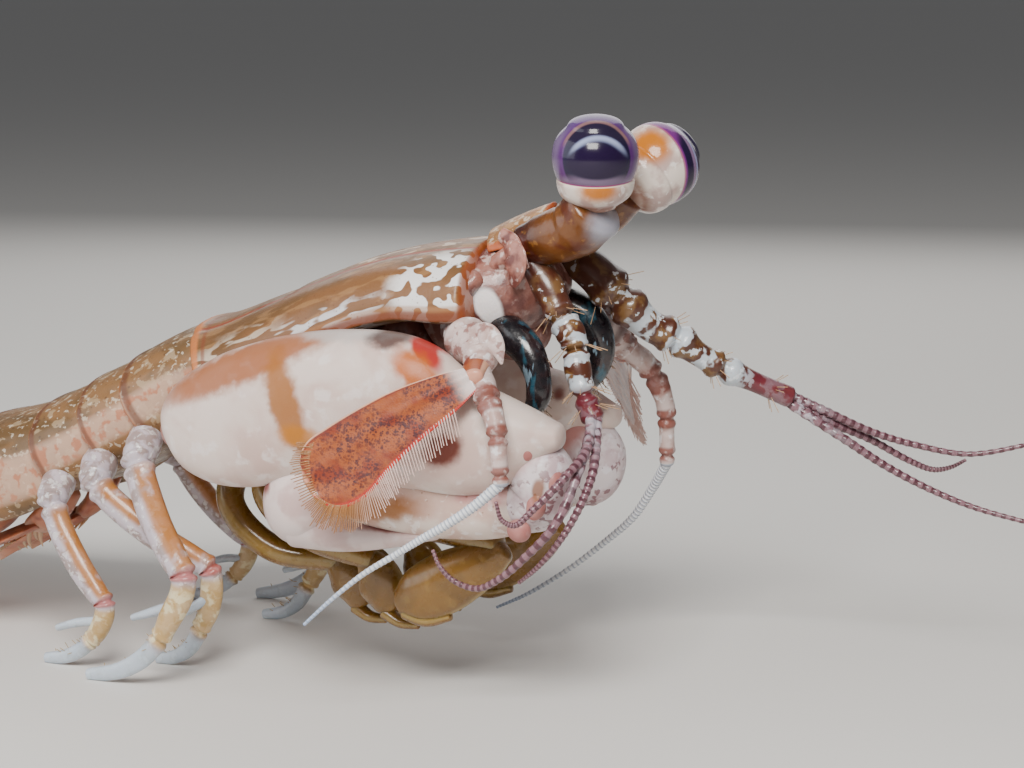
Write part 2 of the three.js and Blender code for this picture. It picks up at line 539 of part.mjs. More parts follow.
const HOOD = [
  [26.6, 36.6, 3.4, 1.5], [28.4, 37.5, 3.7, 1.9], [30.4, 38.35, 3.1, 1.9], [31.6, 38.75, 2.1, 1.4],
];
addNode('rostral_plate', blade({
  at: (u, v) => {
    const place = u * (HOOD.length - 1);
    const table = HOOD.map((row, index) => [index, ...row]);
    const [x, z, half, droop] = [1, 2, 3, 4].map((column) => read(table, place, column));
    return new THREE.Vector3(x, half * v, z - droop * v * v);
  },
  along: 3,
  across: 6,
  thickness: 0.7,
}), 'rim', { clearOf: ['carapace'] });

const thoraxFront = limb({
  stations: [
    [1.4, 0, 20.0, 6.6, 4.2], [8, 0, 22.9, 6.7, 4.4], [15, 0, 26.3, 6.5, 4.5], [21.6, 0, 28.9, 6.2, 4.3],
  ],
  sides: 14, power: 2.3, caps: [0, 0],
});
addNode('thorax_front', thoraxFront, 'flesh', { clearOf: ['carapace'] });

addNode('head', fused(
  limb({
    stations: [[22.6, 0, 29.4, 6.0, 3.7], [26.2, 0, 31.2, 6.3, 4.2], [28.8, 0, 32.4, 5.4, 3.8],
      [30.8, 0, 33.6, 3.9, 2.6]],
    sides: 12, power: 2.3, caps: [0, 0.35],
  }),
  oval({ centre: [28.3, 0, 28.6], radii: [2.8, 3.2, 2.4], sides: 8 }),
  ['right', 'left'].map((side) => limb({
    stations: mirrored([
      [28.4, -3.6, 34.2, 1.2, 1.0], [29.6, -3.9, 35.2, 1.0, 0.8], [30.3, -3.9, 35.7, 0.6, 0.5],
    ], side),
    sides: 5, caps: [0, 0.5],
  })),
), 'flesh', { clearOf: ['carapace', 'thorax_front', 'rostral_plate'] });

let behind = 0;
THORAX_RUN.forEach(([length], index) => {
  const isFirst = index === 0;
  addNode(`thorax_somite_${6 + index}`, ring({
    from: behind + (isFirst ? -3.2 : CLEARANCE / 2),
    to: behind + length - CLEARANCE / 2,
    drop: 0.5,
    steps: isFirst ? 4 : 3,
  }), 'shell', { clearOf: isFirst ? ['carapace', 'thorax_front'] : [] });
  behind += length;
});

const ABDOMEN_START = behind;
const SOMITE_SPINES = [-7.6, -4.6, -1.6, 1.6, 4.6, 7.6];
ABDOMEN_RUN.forEach(([length], index) => {
  const number = index + 1;
  const body = ring({
    from: behind + CLEARANCE / 2, to: behind + length - CLEARANCE / 2, drop: number < 6 ? PLEURON_DROP : 0.9,
  });
  const rear = behind + length;
  const spines = SOMITE_SPINES.map((y) => {
    const { point, ahead, up } = onBack(rear - 2.6);
    const lift = read(TRUNK_RISE, rear) * (1 - (1 - (Math.abs(y) / 10) ** 2.3) ** (1 / 2.3));
    const root = point.clone().addScaledVector(up, -lift - 0.35).setY(y);
    const tip = root.clone().addScaledVector(ahead, -3.6).addScaledVector(up, 0.25);
    return spine({ root: root.toArray(), tip: tip.toArray(), wide: 1.5, thick: 1.1 });
  });
  addNode(`abdomen_somite_${number}`, number < 6 ? body : fused(body, spines), 'shell');
  behind += length;
});

// Tail fan

const TELSON_START = behind;
const telsonAt = (t) => {
  const { point, ahead, up } = onBack(TELSON_START + CLEARANCE + t * (TELSON_RUN[0][0] - CLEARANCE));
  const [wide, deep, keel] = [1, 2, 3].map((column) => read(TELSON_SHAPE, t, column));
  return {
    centre: point.clone().addScaledVector(up, -deep), ahead, up, wide, deep, under: keel / deep, power: 2.4,
  };
};
const ridgeAlong = (y, from, to, size) => {
  const stations = [from, (from + to) / 2, to].map((t, index) => {
    const { centre, up, deep, wide } = telsonAt(t);
    const lift = deep * (1 - (Math.abs(y) / wide) ** 2.4) ** (1 / 2.4);
    const top = centre.clone().addScaledVector(up, lift).setY(y);
    return [...top.toArray(), size * [1, 1, 0.7][index], size * [0.9, 1, 0.8][index]];
  });
  return limb({ stations, sides: 5, caps: [0, 0.5] });
};
const telsonTeeth = TELSON_TEETH.flatMap(([t, y, length]) => [-1, 1].map((flip) => {
  const { centre, ahead } = telsonAt(t);
  const root = centre.clone().addScaledVector(ahead, 1.6).setY(flip * (y - 1.2));
  const tip = centre.clone().addScaledVector(ahead, -length).setY(flip * (y + 0.25));
  return spine({ root: root.toArray(), tip: tip.toArray(), wide: 2.3, thick: 1.3 });
}));
addNode('telson', fused(
  (grow = 0) => loft({ at: telsonAt, steps: 4, sides: 16, caps: [0, 0.2], grow }),
  ridgeAlong(0, 0.08, 0.9, 0.8),
  [-3.8, 3.8].map((y) => ridgeAlong(y, 0.25, 0.88, 0.5)),
  telsonTeeth,
), 'fin', { clearOf: ['abdomen_somite_6'] });

/** Outline points of a row of setae along a run of [far, out] points, the body on the right of it. */
function setaeAlong({ run, count, length, seed }) {
  const curve = new THREE.SplineCurve(run.map(([far, out]) => new THREE.Vector2(far, out)));
  const points = Array.from({ length: count }, (_, index) => {
    const middle = (index + 0.5) / count;
    const tangent = curve.getTangentAt(middle);
    const reach = length * (0.85 + 0.3 * chance(seed + index));
    const lean = new THREE.Vector2(SETAE_LEAN - tangent.y, tangent.x).multiplyScalar(reach);
    const tip = curve.getPointAt(middle).add(lean);
    return [curve.getPointAt(index / count), tip];
  });
  return [...points.flat(), curve.getPointAt(1)];
}

/** A flat plate with an outline of far and out, measured from base in the directions ahead and across. */
function plate({ base, ahead, across, outline, thickness }) {
  return (grow = 0) => {
    const depth = thickness + 2 * grow;
    const geometry = new THREE.ExtrudeGeometry(new THREE.Shape(outline), { depth, bevelEnabled: false });
    geometry.translate(0, 0, -depth / 2);
    const face = new THREE.Vector3().crossVectors(ahead, across);
    geometry.applyMatrix4(new THREE.Matrix4().makeBasis(ahead, across, face).setPosition(base));
    return solidOf(geometry);
  };
}

/** A flat oval lobe from base to tip, with setae round its outer part where a number is given. */
function lobe({ base, tip, halfWidth, thickness, up, setae = 0, seed = 0 }) {
  const from = vec(base);
  const ahead = vec(tip).sub(from);
  const length = ahead.length();
  ahead.normalize();
  const across = new THREE.Vector3().crossVectors(vec(up), ahead).normalize();
  const on = (t) => {
    const side = Math.sin(2 * Math.PI * t);
    return [
      (length / 2) * (1 - Math.cos(2 * Math.PI * t)),
      halfWidth * Math.sign(side) * Math.abs(side) ** 0.6,
    ];
  };
  const plain = (shares) => shares.map((t) => new THREE.Vector2(...on(t)));
  const middle = [0.2, 0.35, 0.5, 0.65, 0.8];
  const outline = [
    ...plain([0, 0.07]),
    ...(setae
      ? setaeAlong({ run: middle.map(on), count: setae, length: SETAE_LENGTH, seed })
      : plain(middle)),
    ...plain([0.93]),
  ];
  return plate({ base: from, ahead, across, outline, thickness });
}

['right', 'left'].forEach((side) => {
  const flip = side === 'left' ? -1 : 1;
  const at = (x, y, z) => [x, flip * y, z];
  const outerUp = at(0.25, 0.35, 1);
  const spines = Array.from({ length: 5 }, (_, index) => {
    const share = index / 4;
    const root = at(-70.4 - 5.6 * share, -12.4 - 3.2 * share, 5.8 - 2.7 * share);
    const tip = at(-71.9 - 6.4 * share, -14.5 - 3.0 * share, 5.2 - 3.0 * share);
    return spine({ root, tip, wide: 0.9, thick: 0.8 });
  });
  addNode(`uropod_${side}`, fused(
    limb({ stations: [[...at(-65.6, -6.0, 7.8), 1.6, 1.5], [...at(-67.8, -8.6, 7.0), 2.0, 1.7],
      [...at(-69.8, -10.2, 5.9), 1.7, 1.3]], sides: 7 }),
    limb({ stations: [[...at(-69.0, -10.4, 6.3), 1.5, 0.9], [...at(-72.6, -12.6, 4.9), 2.0, 0.9],
      [...at(-76.4, -14.8, 3.0), 1.8, 0.8]], sides: 6, up: outerUp }),
    spines,
    lobe({ base: at(-75.8, -14.3, 3.1), tip: at(-81.4, -17.2, 1.0), halfWidth: 2.7, thickness: 0.9,
      up: outerUp, setae: 14, seed: 40 }),
    lobe({ base: at(-69.4, -9.4, 4.8), tip: at(-79.4, -12.2, 0.8), halfWidth: 2.1, thickness: 0.9,
      up: at(0.45, 0.1, 1), setae: 14, seed: 80 }),
    [[-5.2, 0.9], [-7.0, 0.4]].map(([y, lift]) => limb({
      stations: [[...at(-68.6, -8.0, 5.4), 1.2, 0.8], [...at(-73.4, (y - 8) / 2, 3.1 + lift), 0.9, 0.6],
        [...at(-79.6, y, 0.9 + lift), 0.35, 0.35]],
      sides: 5, caps: [0, 0.5],
    })),
  ), 'fin', { clearOf: ['abdomen_somite_6', 'telson'], onFloor: true });
});

// Swimming legs with their gill filaments

ABDOMEN_RUN.slice(0, 5).forEach(([length], index) => {
  const number = index + 1;
  const start = ABDOMEN_START + total(ABDOMEN_RUN.slice(0, index));
  const section = trunkSection(start + length * 0.35, 1);
  const sole = section.centre.clone().addScaledVector(section.up, -section.deep * section.under);
  ['right', 'left'].forEach((side) => {
    const flip = side === 'left' ? 1 : -1;
    const hip = sole.clone().setY(flip * PLEOPOD.spread);
    const on = (back, down, aside) => [hip.x - back, hip.y + flip * aside, Math.max(hip.z - down, 0.75)];
    const seed = number * 20;
    const fall = Math.min(5.0, hip.z - 1.6);
    const gills = Array.from({ length: PLEOPOD.filaments }, (_, item) => {
      const back = 1.5 + 1.15 * item;
      const down = 2.0 + 0.35 * item;
      const reach = PLEOPOD.filamentLength * (0.8 + 0.4 * chance(seed + item));
      return spine({
        root: on(back, down, 0.9),
        tip: on(back + 0.9, down + 0.8 * reach, -0.8),
        wide: 0.9,
        thick: 0.55,
        flat: [1, 0, 0],
      });
    });
    addNode(`pleopod_${number}_${side}`, fused(
      limb({
        stations: [
          [...on(-0.6, -1.0, 0), 1.9, 1.1],
          [...on(0.6, 0.9, 0.3), 2.1, 1.0],
          [...on(2.0, 2.1, 0.5), 1.8, 0.8],
        ],
        sides: 6, caps: [0, 0.5], up: [1, 0, 0.3],
      }),
      lobe({
        base: on(1.4, 1.7, 1.3),
        tip: on(PLEOPOD.length - 0.6, fall, 2.4),
        halfWidth: PLEOPOD.halfWidth * 0.9,
        thickness: PLEOPOD.thickness,
        up: [0.5, 0, 1],
      }),
      lobe({
        base: on(1.4, 2.2, -0.6),
        tip: on(PLEOPOD.length - 2.2, fall + 0.5, -0.9),
        halfWidth: PLEOPOD.halfWidth * 0.62,
        thickness: PLEOPOD.thickness,
        up: [0.5, 0, 1],
      }),
      gills,
    ), 'gill', { clearOf: [`abdomen_somite_${number}`, `abdomen_somite_${number + 1}`] });
  });
});

// Eyes and feelers

['right', 'left'].forEach((side) => {
  const { base, axis } = EYES[side];
  const direction = vec(axis).normalize();
  const stations = EYE_PROFILE.map(([height, radius]) => [
    ...vec(base).addScaledVector(direction, height).toArray(), radius]);
  const across = side === 'right' ? [0, 1, 0] : [0, 0, 1];
  addNode(`eye_${side}`, limb({ stations, up: across, sides: 16, caps: [0.3, 0.38] }), 'eye');
  addNode(`eye_stalk_${side}`, limb({ stations: EYE_STALKS[side], sides: 10, caps: [0.3, 0.3] }), 'stalk', {
    clearOf: [`eye_${side}`, 'head', 'carapace', 'rostral_plate'],
  });
});

/** A whip that thins out from root to tip. */
function lash({ points, root, tip, up = [0, 0, 1], sides = 4 }) {
  const last = points.length - 1;
  const stations = points.map((point, index) => [...point, THREE.MathUtils.lerp(root, tip, index / last)]);
  return limb({ stations, up, sides, caps: [0, 0.6] });
}

['right', 'left'].forEach((side) => {
  const flip = side === 'left' ? 1 : -1;
  addNode(`antennule_${side}`, fused(
    limb({ stations: ANTENNULE_STALKS[side], up: [1, 0, 0.6], sides: 8 }),
    ANTENNULE_LASHES[side].map((points) => lash({ points, root: 0.48, tip: 0.26, up: [0, 1, 0.2] })),
  ), 'feeler', { clearOf: ['head', `eye_stalk_${side}`] });

  const { coxa, peduncle, lash: whip } = ANTENNAE[side];
  addNode(`antenna_${side}`, fused(
    limb({ stations: coxa, sides: 8 }),
    limb({ stations: peduncle, up: [1, 0, 0.3], sides: 7 }),
    lash({ points: whip, root: 0.5, tip: 0.26, up: [0, 1, 0.2] }),
  ), 'chalk', { clearOf: ['head', 'thorax_front', 'carapace'] });

  const { stem, tip, across } = SCALES[side];
  const base = vec(stem[stem.length - 1]);
  const ahead = vec(tip).sub(base).normalize();
  const wide = vec(across).addScaledVector(ahead, -vec(across).dot(ahead)).normalize();
  const outline = [
    ...SCALE_PLAIN_EDGE.map((point) => new THREE.Vector2(...point)),
    ...setaeAlong({ run: SCALE_FRINGED_EDGE, count: SCALE_SETAE, length: SETAE_LENGTH, seed: 120 + flip }),
    new THREE.Vector2(0, -1.2),
  ];
  addNode(`antennal_scale_${side}`, fused(
    limb({ stations: stem, sides: 6, up: across }),
    plate({ base, ahead, across: wide, outline, thickness: SCALE_THICKNESS }),
  ), 'scale', { clearOf: [`antenna_${side}`, 'head'] });
});

// Claws, maxillipeds and walking legs

['right', 'left'].forEach((side) => {
  const shift = CLAW_SHIFT[side];
  const merusRows = MERUS.map(([x, y, top, bottom, half]) => (
    [x, y, (top + bottom) / 2, half, (top - bottom) / 2]
  ));
  addNode(`raptorial_merus_${side}`, limb({
    stations: mirrored(merusRows, side, shift), sides: 12, power: 2.2,
  }), 'porcelain', { clearOf: ['carapace'] });
  addNode(`raptorial_ischium_${side}`, limb({
    stations: mirrored(ISCHIUM, side, shift), sides: 8,
  }), 'porcelain', { clearOf: [`raptorial_merus_${side}`, 'thorax_front'] });
  addNode(`raptorial_carpus_${side}`, limb({
    stations: mirrored(CARPUS, side, shift), up: [1, 0, 0], sides: 12, caps: [0.6, 0.6],
  }), 'porcelain', { clearOf: [`raptorial_merus_${side}`] });
  addNode(`raptorial_propodus_${side}`, limb({
    stations: mirrored(PROPODUS, side, shift), sides: 12, caps: [0.7, 0.6], power: 2.2,
  }), 'porcelain', { clearOf: [`raptorial_merus_${side}`, `raptorial_carpus_${side}`] });
  const heelCentre = mirrored([DACTYL_HEEL.centre], side, shift)[0];
  addNode(`raptorial_dactyl_${side}`, fused(
    oval({ centre: heelCentre, radii: DACTYL_HEEL.radii, pitch: DACTYL_HEEL.pitch, sides: 12 }),
    limb({ stations: mirrored(DACTYL_FINGER, side, shift), sides: 8, caps: [0.5, 0.6] }),
  ), 'porcelain', { clearOf: [`raptorial_merus_${side}`, `raptorial_propodus_${side}`] });

  addNode(`maxilliped_1_${side}`, limb({
    stations: FIRST_MAXILLIPEDS[side], up: [0.6, 0, 0.8], sides: 8,
  }), 'inky', { clearOf: ['head', 'thorax_front', `antennule_${side}`] });
  const shiftOf = MAXILLIPED_SHIFT[side];
  MAXILLIPEDS.forEach(({ number, arm, hand, finger }) => {
    addNode(`maxilliped_${number}_${side}`, fused(
      limb({ stations: mirrored(arm, side, shiftOf), up: [0.5, 0, 1], sides: 6, caps: [0, 0.4] }),
      limb({ stations: mirrored(hand, side, shiftOf), up: [0, 1, 0], sides: 7, caps: [0.4, 0.5] }),
      limb({ stations: mirrored(finger, side, shiftOf), up: [0, 0, 1], sides: 4, caps: [0, 0.5] }),
    ), 'amber', { clearOf: ['thorax_front'] });
  });

  WALKING_LEGS.forEach(({ number, stride, coxa, long, shin, foot, branch }) => {
    const offset = [stride[side], 0, 0];
    const rest = (stations) => mirrored(stations, side, offset);
    addNode(`walking_leg_${number}_${side}`, fused(
      limb({ stations: rest(coxa), sides: 7 }),
      limb({ stations: rest([...long, ...shin.slice(1), ...foot.slice(1)]), up: [0, 1, 0], sides: 6 }),
      limb({ stations: rest(branch), sides: 5, caps: [0, 0.5] }),
    ), 'leg', {
      clearOf: ['thorax_somite_6', 'thorax_somite_7', 'thorax_somite_8', 'abdomen_somite_1'],
      onFloor: true,
    });
  });
});

model.position.set(-ORIGIN.x, -ORIGIN.y, 0);

export default model;
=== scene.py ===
"""A smashing mantis shrimp at life size, dressed over its solid frame.

Tables are in working millimetres, as in the solids: X = 0 is the middle of the carapace's rear margin, +X is
forward, +Y is the animal's left and the floor is Z = 0. Each piece is moved to the frame's metres as it ends.
"""

import logging
import math
import random
from dataclasses import dataclass, field
from enum import Enum
from functools import cache, reduce
from typing import Callable, Optional, Sequence

import bmesh
import bpy
from mathutils import Matrix, Vector, noise


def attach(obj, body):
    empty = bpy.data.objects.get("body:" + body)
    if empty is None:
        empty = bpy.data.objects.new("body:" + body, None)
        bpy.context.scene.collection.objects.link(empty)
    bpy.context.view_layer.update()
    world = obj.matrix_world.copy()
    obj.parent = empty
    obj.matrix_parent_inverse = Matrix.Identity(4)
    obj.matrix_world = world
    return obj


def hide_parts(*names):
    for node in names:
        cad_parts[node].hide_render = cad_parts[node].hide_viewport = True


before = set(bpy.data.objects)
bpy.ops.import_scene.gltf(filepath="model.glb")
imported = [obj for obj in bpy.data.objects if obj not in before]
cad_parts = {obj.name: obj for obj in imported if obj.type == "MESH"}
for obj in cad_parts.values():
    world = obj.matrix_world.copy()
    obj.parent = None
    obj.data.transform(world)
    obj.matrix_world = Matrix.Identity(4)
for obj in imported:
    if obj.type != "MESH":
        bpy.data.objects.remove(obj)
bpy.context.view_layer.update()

LOG = logging.getLogger("mantis_shrimp")
MM = 0.001
ORIGIN = Vector((-7.473, 2.332, 0.0))
PHOTO_RIGHT = Vector((0.914, 0.407, 0.0))
PHOTO_UP = Vector((-0.064, 0.143, 0.988))
FAR_GLOBE = 3.3
FLOOR_GAP = 0.03

Row = Sequence[float]
Socket = bpy.types.NodeSocket
Shape = Callable[[float, float, float, float], tuple[float, float]]


class Side(Enum):
    """The animal's own sides; the value is the sign that right-side tables are mirrored by."""

    RIGHT = 1
    LEFT = -1

    @property
    def word(self) -> str:
        """The side's name as node names end."""
        return self.name.lower()


# Curves and tables

def read(rows: Sequence[Row], place: float, column: int = 1) -> float:
    """Straight-line reading of (place, value, ...) rows.

    Args:
        rows: The rows in rising order of place.
        place: Where to read.
        column: Which value of the rows is wanted.

    Returns:
        The value at that place, held at the rows' ends.
    """
    for low, high in zip(rows, rows[1:]):
        if place <= high[0] or high is rows[-1]:
            share = min(max((place - low[0]) / (high[0] - low[0]), 0.0), 1.0)
            return low[column] + (high[column] - low[column]) * share
    return rows[-1][column]


def table(rows: dict) -> dict:
    """A dataclass field that holds a dictionary."""
    return field(default_factory=lambda: dict(rows))


def both(right: object, left: object) -> dict[Side, object]:
    """A dataclass field with one value for each side."""
    return table({Side.RIGHT: right, Side.LEFT: left})


def smoothstep(value: float, low: float, high: float) -> float:
    """Soft step from 0 at low to 1 at high."""
    share = min(max((value - low) / (high - low), 0.0), 1.0)
    return share * share * (3 - 2 * share)


class Spline:
    """A centripetal curve through rows of x, y, z and any number of widths."""

    LEAST_GAP = 1e-4
    LOOK = 0.004

    def __init__(self, rows: Sequence[Row]) -> None:
        """Keeps the stations, all of the same length."""
        self.rows = [tuple(row) for row in rows]

    def __call__(self, share: float) -> tuple[float, ...]:
        """Reads the curve.

        Args:
            share: 0 at the first station and 1 at the last, even over the spans.

        Returns:
            The row there.
        """
        rows = self.rows
        place = min(max(share, 0.0), 1.0) * (len(rows) - 1)
        span = min(int(place), len(rows) - 2)
        t = place - span
        one, two = rows[span], rows[span + 1]
        before = rows[span - 1] if span else tuple(2 * a - b for a, b in zip(one, two))
        after = rows[span + 2] if span + 2 < len(rows) else tuple(2 * b - a for a, b in zip(one, two))
        pairs = ((before, one), (one, two), (two, after))
        gap = [max(math.dist(a[:3], b[:3]) ** 0.5, self.LEAST_GAP) for a, b in pairs]
        result = []
        for a, b, c, d in zip(before, one, two, after):
            leave = ((b - a) / gap[0] - (c - a) / (gap[0] + gap[1]) + (c - b) / gap[1]) * gap[1]
            arrive = ((c - b) / gap[1] - (d - b) / (gap[1] + gap[2]) + (d - c) / gap[2]) * gap[1]
            bend = 2 * b - 2 * c + leave + arrive
            swing = -3 * b + 3 * c - 2 * leave - arrive
            result.append(((bend * t + swing) * t + leave) * t + b)
        return tuple(result)

    def point(self, share: float) -> Vector:
        """The place at that share."""
        return Vector(self(share)[:3])

    def ahead(self, share: float) -> Vector:
        """The direction at that share."""
        before, after = max(share - self.LOOK, 0.0), min(share + self.LOOK, 1.0)
        return (self.point(after) - self.point(before)).normalized()


@dataclass
class Section:
    """One oval slice of a body: where it is, how it is turned and how large it is."""

    centre: Vector
    ahead: Vector
    up: Vector
    wide: float
    deep: float
    under: float = 1.0
    power: float = 2.0

    def point(self, out: float, rise: float, push: float = 0.0) -> Vector:
        """The place that lies out across, rise up and push ahead of the slice's centre."""
        across = self.up.cross(self.ahead).normalized()
        return self.centre + across * out + self.up * rise + self.ahead * push


class Sculpt:
    """One piece of the animal: a mesh grown by operators that ends as a finished object."""

    ROUNDING = 1
    DOME = ((0.97, 0.22), (0.87, 0.5), (0.7, 0.72), (0.45, 0.9), (0.18, 0.985))

    def __init__(self, node: str, slot: str) -> None:
        """Starts an empty piece.

        Args:
            node: The solid that the piece stands for.
            slot: A slot name, stored on the piece but not used.
        """
        self.node = node
        self.slot = slot
        self.mesh = bmesh.new()
        self.mesh.verts.layers.float.new("along")
        self.mesh.verts.layers.float.new("aside")

    @staticmethod
    def _stretched(body: bmesh.types.BMesh, ring: list[bmesh.types.BMVert]) -> list[bmesh.types.BMVert]:
        """Extrudes a closed ring of edges and returns the new ring in the same order.

        Args:
            body: The body that grows.
            ring: The old ring's corners in order.

        Returns:
            The new ring.
        """
        edges = [body.edges.get(pair) for pair in zip(ring, ring[1:] + ring[:1])]
        made = bmesh.ops.extrude_edge_only(body, edges=edges)["geom"]
        fresh = {item for item in made if isinstance(item, bmesh.types.BMVert)}
        return [next(edge.other_vert(old) for edge in old.link_edges if edge.other_vert(old) in fresh)
                for old in ring]

    @staticmethod
    def _closed(body: bmesh.types.BMesh, ring: list[bmesh.types.BMVert]) -> None:
        """Closes a ring with a fan of faces.

        Args:
            body: The body.
            ring: The ring's corners in order.
        """
        along = body.verts.layers.float["along"]
        face = bmesh.ops.contextual_create(body, geom=ring)["faces"]
        for vert in bmesh.ops.poke(body, faces=face)["verts"]:
            vert[along] = ring[0][along]

    def _join(self, body: bmesh.types.BMesh) -> None:
        """Adds a finished body to the piece.

        Args:
            body: The body, which is used up.
        """
        data = bpy.data.meshes.new("body")
        body.to_mesh(data)
        body.free()
        self.mesh.from_mesh(data)
        bpy.data.meshes.remove(data)

    def skin(self, at: Callable[[float], Section], steps: int, sides: int = 24,
             caps: tuple[float, float] = (0.5, 0.5), shape: Optional[Shape] = None,
             along: tuple[float, float] = (0.0, 1.0)) -> None:
        """Grows a body over oval sections.

        Args:
            at: The section for a share of 0 to 1.
            steps: How many spans of faces.
            sides: Faces round the body.
            caps: How far each end bulges, as a share of its section; 0 is flat.
            shape: Reshapes a point, from share, angle, out and rise to a new out and rise.
            along: The values of the along attribute at the two ends.
        """
        flow = 1.0 if (at(1).centre - at(0).centre).dot(at(0.5).ahead) >= 0 else -1.0
        rows = [(0.0, size, -push) for size, push in reversed(self.DOME)] if caps[0] else []
        rows += [(step / steps, 1.0, 0.0) for step in range(steps + 1)]
        rows += [(1.0, size, push) for size, push in self.DOME] if caps[1] else []
        body = bmesh.new()
        run, reach = body.verts.layers.float.new("along"), body.verts.layers.float.new("aside")
        ring = bmesh.ops.create_circle(body, segments=sides, radius=1.0)["verts"]
        unit = [math.atan2(vert.co.y, vert.co.x) for vert in ring]
        first = ring
        for index, (share, size, push) in enumerate(rows):
            ring = self._stretched(body, ring) if index else ring
            section = at(share)
            bulge = caps[0 if share < 0.5 else 1] * min(section.wide, section.deep) * push * flow
            sharp = 2 / section.power
            for vert, angle in zip(ring, unit):
                cosine, sine = math.cos(angle), math.sin(angle)
                depth = section.deep * (section.under if sine < 0 else 1.0)
                out = math.copysign(abs(cosine) ** sharp, cosine) * section.wide
                rise = math.copysign(abs(sine) ** sharp, sine) * depth
                if shape:
                    out, rise = shape(share, angle, out, rise)
                vert.co = section.point(out * size, rise * size, bulge)
                vert[run] = along[0] + (along[1] - along[0]) * share
                vert[reach] = cosine * size
        self._closed(body, first)
        self._closed(body, ring)
        self._join(body)

    def limb(self, stations: Sequence[Row], up: Row = (0, 0, 1), sides: int = 20, per_span: int = 5,
             caps: tuple[float, float] = (0.5, 0.5), power: float = 2.0,
             along: tuple[float, float] = (0.0, 1.0), ripple: float = 0.0, seed: int = 0,
             knuckles: Sequence[float] = (), knuckle: float = 0.02) -> Spline:
        """Grows a limb through stations of x, y, z, half-width and half-depth.

        Args:
            stations: The rows; a missing half-depth equals the half-width.
            up: The direction that the depth follows.
            sides: Faces round the limb.
            per_span: Faces between two stations.
            caps: How far the ends bulge.
            power: 2 is round, more is boxier.
            along: The values of the along attribute at the ends.
            ripple: Depth of soft lumps, as a share of the size.
            seed: Moves the lumps.
            knuckles: Shares at which it is jointed: a crease between two swollen rims.
            knuckle: Half the length of a knuckle, as a share of the limb.

        Returns:
            The limb's spline.
        """
        curve = Spline([row if len(row) > 4 else (*row, row[3]) for row in stations])
        upward = Vector(up)

        def at(share: float) -> Section:
            """The limb's section there.

            Args:
                share: 0 at the first slice and 1 at the last.

            Returns:
                The section.
            """
            ahead = curve.ahead(share)
            row = curve(share)
            swell = 1 + ripple * noise.noise(Vector((share * 3.1 * len(stations), seed * 7.3, 0.5)))
            for place in knuckles:
                away = abs(share - place) / knuckle
                swell += 0.17 * math.exp(-((away - 1.2) / 0.6) ** 2) - 0.3 * math.exp(-(away / 0.4) ** 2)
            return Section(Vector(row[:3]), ahead, (upward - ahead * upward.dot(ahead)).normalized(),
                           max(row[3], 0.05) * swell, max(row[4], 0.05) * swell, power=power)

        self.skin(at, (len(stations) - 1) * per_span, sides, caps, along=along)
        return curve

    def ball(self, centre: Row, radii: Row, pitch: float = 0.0, detail: int = 28) -> None:
        """An oval body.

        Args:
            centre: Its middle.
            radii: Half its length, width and height.
            pitch: Degrees that it is turned nose down.
            detail: Faces round it.
        """
        turn = Matrix.Translation(centre) @ Matrix.Rotation(math.radians(pitch), 4,
                                                            "Y") @ Matrix.Diagonal((*radii, 1))
        bmesh.ops.create_uvsphere(self.mesh, u_segments=detail, v_segments=detail // 2, radius=1.0,
                                  matrix=turn)

    def bristle(self, root: Vector, tip: Vector, wide: float, droop: Row = (0, 0, 0), sides: int = 5) -> None:
        """A bent tapering bristle or spine.

        Args:
            root: Where it stands.
            tip: Where it ends.
            wide: Its width at the root.
            droop: How far its middle is drawn aside.
            sides: Faces round it.
        """
        middle = (root + tip) / 2 + Vector(droop)
        ahead = (tip - root).normalized()
        up = ahead.orthogonal()
        self.limb([(*root, wide / 2), (*middle, wide * 0.34), (*tip, wide * 0.06)], up, sides, 2, (0.0, 0.5),
                  along=(2.0, 3.0))

    def finish(self, material: bpy.types.Material) -> None:
        """Ends the piece as an object at the origin that stands for its node.

        Args:
            material: What it is painted with.
        """
        bmesh.ops.recalc_face_normals(self.mesh, faces=self.mesh.faces[:])
        bmesh.ops.translate(self.mesh, vec=-ORIGIN, verts=self.mesh.verts[:])
        bmesh.ops.scale(self.mesh, vec=(MM, MM, MM), verts=self.mesh.verts[:])
        data = bpy.data.meshes.new(f"{self.node}_skin")
        self.mesh.to_mesh(data)
        self.mesh.free()
        data.shade_smooth()
        data.materials.append(material)
        piece = bpy.data.objects.new(f"{self.node}_skin", data)
        bpy.context.scene.collection.objects.link(piece)
        rounding = piece.modifiers.new("rounding", "SUBSURF")
        rounding.levels = rounding.render_levels = self.ROUNDING
        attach(piece, "root")
        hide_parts(self.node)
        LOG.info("%s: %d faces", piece.name, len(data.polygons))


# Shader node groups

def add_node(tree: bpy.types.NodeTree, kind: str, inputs: Optional[dict] = None,
             **settings: object) -> bpy.types.Node:
    """Adds a shader node.

    Args:
        tree: Where to.
        kind: The node's class name without ShaderNode.
        inputs: Sockets to link or values to set, by socket name or number.
        settings: The node's own options.

    Returns:
        The node.
    """
    node = tree.nodes.new(f"ShaderNode{kind}")
    for name, value in settings.items():
        setattr(node, name, value)
    for key, value in (inputs or {}).items():
        if isinstance(value, Socket):
            tree.links.new(value, node.inputs[key])
        else:
            node.inputs[key].default_value = value
    return node


def number(tree: bpy.types.NodeTree, operation: str, *values: Socket | float) -> Socket:
    """The outcome of a Math node."""
    return add_node(tree, "Math", dict(enumerate(values)), operation=operation).outputs[0]


def vector(tree: bpy.types.NodeTree, operation: str, *values: Socket | Row) -> Socket:
    """The outcome of a Vector Math node."""
    outputs = add_node(tree, "VectorMath", dict(enumerate(values)), operation=operation).outputs
    return outputs["Value"] if operation in ("DOT_PRODUCT", "LENGTH") else outputs[0]


